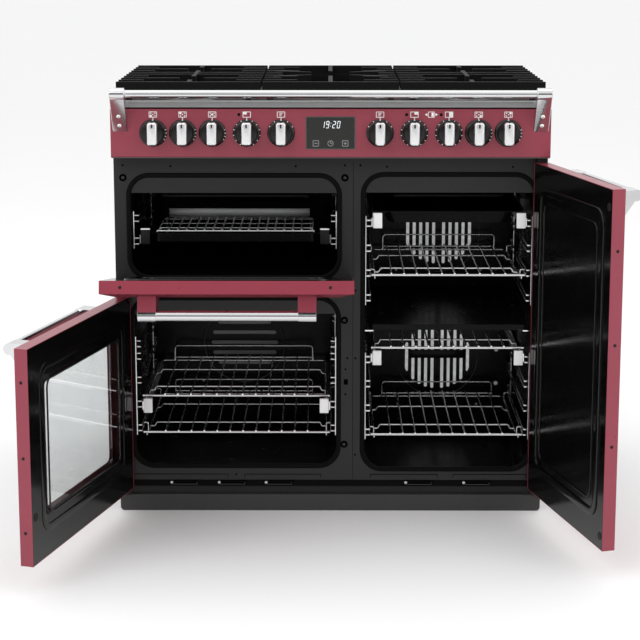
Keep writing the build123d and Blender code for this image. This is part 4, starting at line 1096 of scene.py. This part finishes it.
class RANGE_OT_case_details(bpy.types.Operator):
    """Add the terminal cover, its cable gland and the case screws at the rear"""

    bl_idname = "gas_range.case_details"
    bl_label = "Case Details"

    def execute(self, context):
        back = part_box("back_panel")[1].y
        base = Matrix.Rotation(math.radians(-90), 4, "X")
        cover, screws, gland = (bmesh.new() for _ in range(3))
        rounded_plate(cover, 0.11, 0.075, 0.006, 0.016,
                      Matrix.Translation((0.36, back, 0.70)) @ base, bevel=0.003)
        turned(gland, [(0.0048, 0), (0.011, 0), (0.011, 0.004), (0.009, 0.009), (0.0066, 0.012),
                       (0.0048, 0.012), (0.0048, 0)],
               Matrix.Translation((0.36, back + 0.008, 0.6625)) @ Matrix.Rotation(math.pi, 4, "X"), 28)
        for x in (-0.437, -0.22, 0.0, 0.22, 0.437):
            for z in (0.046, 0.30, 0.56, 0.858):
                screw(screws, Matrix.Translation((x, back, z)) @ base, 0.0040)
        for x in (0.31, 0.41):
            screw(screws, Matrix.Translation((x, back + 0.016, 0.725)) @ base, 0.0030)
        finish_piece("terminal_cover", cover, "black_steel", "range")
        finish_piece("cable_gland", gland, "knob_black", "range")
        finish_piece("case_screws", screws, "runner_steel", "range")
        return {"FINISHED"}


class RANGE_OT_stage(bpy.types.Operator):
    """Set up the floor, the soft lights and the camera"""

    bl_idname = "gas_range.stage"
    bl_label = "Studio Stage"

    def execute(self, context):
        stage = context.scene.range_stage
        shape = bmesh.new()
        bmesh.ops.create_grid(shape, x_segments=1, y_segments=1, size=30)
        mesh = bpy.data.meshes.new("studio_floor")
        shape.to_mesh(mesh)
        shape.free()
        floor = bpy.data.objects.new("studio_floor", mesh)
        bpy.context.scene.collection.objects.link(floor)
        colour = tuple(context.scene.range_colours.floor)
        finish = Finish("studio_floor")
        finish.vary("Base Color", finish.mix(finish.noise(3, 2), scaled(colour, 0.985), colour))
        finish.vary("Roughness", 0.7 + 0.1 * finish.noise(8, 2))
        mesh.materials.append(finish.material)
        self.card("dark_card", (0.0, -5.4, 1.75), 3.4, 0.95)
        self.sky(context.scene, stage.sky)
        self.light("key_light", (-2.6, -3.4, 3.4), (0.0, 0.1, 0.45), 3.0, stage.key_power)
        self.light("fill_light", (3.0, -3.0, 2.2), (0.0, 0.1, 0.45), 3.0, stage.key_power * 0.6)
        self.light("top_light", (0.0, 0.2, 3.6), (0.0, 0.2, 0.9), 2.6, stage.key_power * 0.45)
        self.camera(stage)
        return {"FINISHED"}

    def sky(self, scene, strength):
        """An even pale surround."""
        world = bpy.data.worlds.new("studio_sky")
        scene.world = world
        world.use_nodes = True
        background = world.node_tree.nodes["Background"]
        background.inputs["Color"].default_value = (1, 1, 1, 1)
        background.inputs["Strength"].default_value = strength
        scene.view_settings.view_transform = "Standard"

    def card(self, name, place, half_width, half_height):
        """A dark card behind the camera that gives the chrome its dark line."""
        shape = bmesh.new()
        bmesh.ops.create_grid(shape, x_segments=1, y_segments=1, size=1.0,
                              matrix=facing_front(*place) @ Matrix.Diagonal((half_width, half_height, 1, 1)))
        mesh = bpy.data.meshes.new(name)
        shape.to_mesh(mesh)
        shape.free()
        card = bpy.data.objects.new(name, mesh)
        card.visible_camera = False
        bpy.context.scene.collection.objects.link(card)
        mesh.materials.append(FINISHES["hole_black"])

    def light(self, name, place, target, size, power):
        """A square soft light aimed at a point."""
        lamp = bpy.data.lights.new(name, "AREA")
        lamp.energy = power
        lamp.size = size
        carrier = bpy.data.objects.new(name, lamp)
        carrier.location = place
        carrier.rotation_euler = (Vector(target) - Vector(place)).to_track_quat("-Z", "Y").to_euler()
        bpy.context.scene.collection.objects.link(carrier)

    def camera(self, stage):
        """The camera stands in front of the range and looks slightly down."""
        data = bpy.data.cameras.new("front_camera")
        data.lens = stage.lens
        data.sensor_width = 36.0
        data.shift_y = CAMERA_SHIFT
        carrier = bpy.data.objects.new("front_camera", data)
        carrier.location = CAMERA_PLACE
        carrier.rotation_euler = (math.pi / 2 - stage.pitch, 0, CAMERA_YAW)
        bpy.context.scene.collection.objects.link(carrier)
        bpy.context.scene.camera = carrier


class RANGE_PT_panel(bpy.types.Panel):
    """Lists the steps that finish the range"""

    bl_idname = "RANGE_PT_panel"
    bl_label = "Gas Range"
    bl_space_type = "VIEW_3D"
    bl_region_type = "UI"
    bl_category = "Gas Range"

    def draw(self, context):
        layout = self.layout
        for group in (context.scene.range_colours, context.scene.range_sizes, context.scene.range_stage):
            box = layout.box()
            for name in group.bl_rna.properties.keys():
                if name not in ("rna_type", "name"):
                    box.prop(group, name)
        for operator in STEPS:
            layout.operator(operator.bl_idname)


STEPS = (RANGE_OT_carry_over, RANGE_OT_knobs, RANGE_OT_fascia_signs, RANGE_OT_clock,
         RANGE_OT_frame_fittings, RANGE_OT_door_details, RANGE_OT_oven_fittings, RANGE_OT_runner_caps,
         RANGE_OT_hob_details, RANGE_OT_case_details, RANGE_OT_stage)
GROUPS = (RangeColours, RangeSizes, RangeStage)


def register():
    for made in GROUPS + STEPS + (RANGE_PT_panel,):
        bpy.utils.register_class(made)
    bpy.types.Scene.range_colours = PointerProperty(type=RangeColours)
    bpy.types.Scene.range_sizes = PointerProperty(type=RangeSizes)
    bpy.types.Scene.range_stage = PointerProperty(type=RangeStage)


def unregister():
    del bpy.types.Scene.range_stage
    del bpy.types.Scene.range_sizes
    del bpy.types.Scene.range_colours
    for made in reversed(GROUPS + STEPS + (RANGE_PT_panel,)):
        bpy.utils.unregister_class(made)


def main():
    """Run every step in order."""
    register()
    for step in STEPS:
        group, name = step.bl_idname.split(".")
        getattr(getattr(bpy.ops, group), name)()
    bpy.context.view_layer.update()


if __name__ == "__main__":
    main()
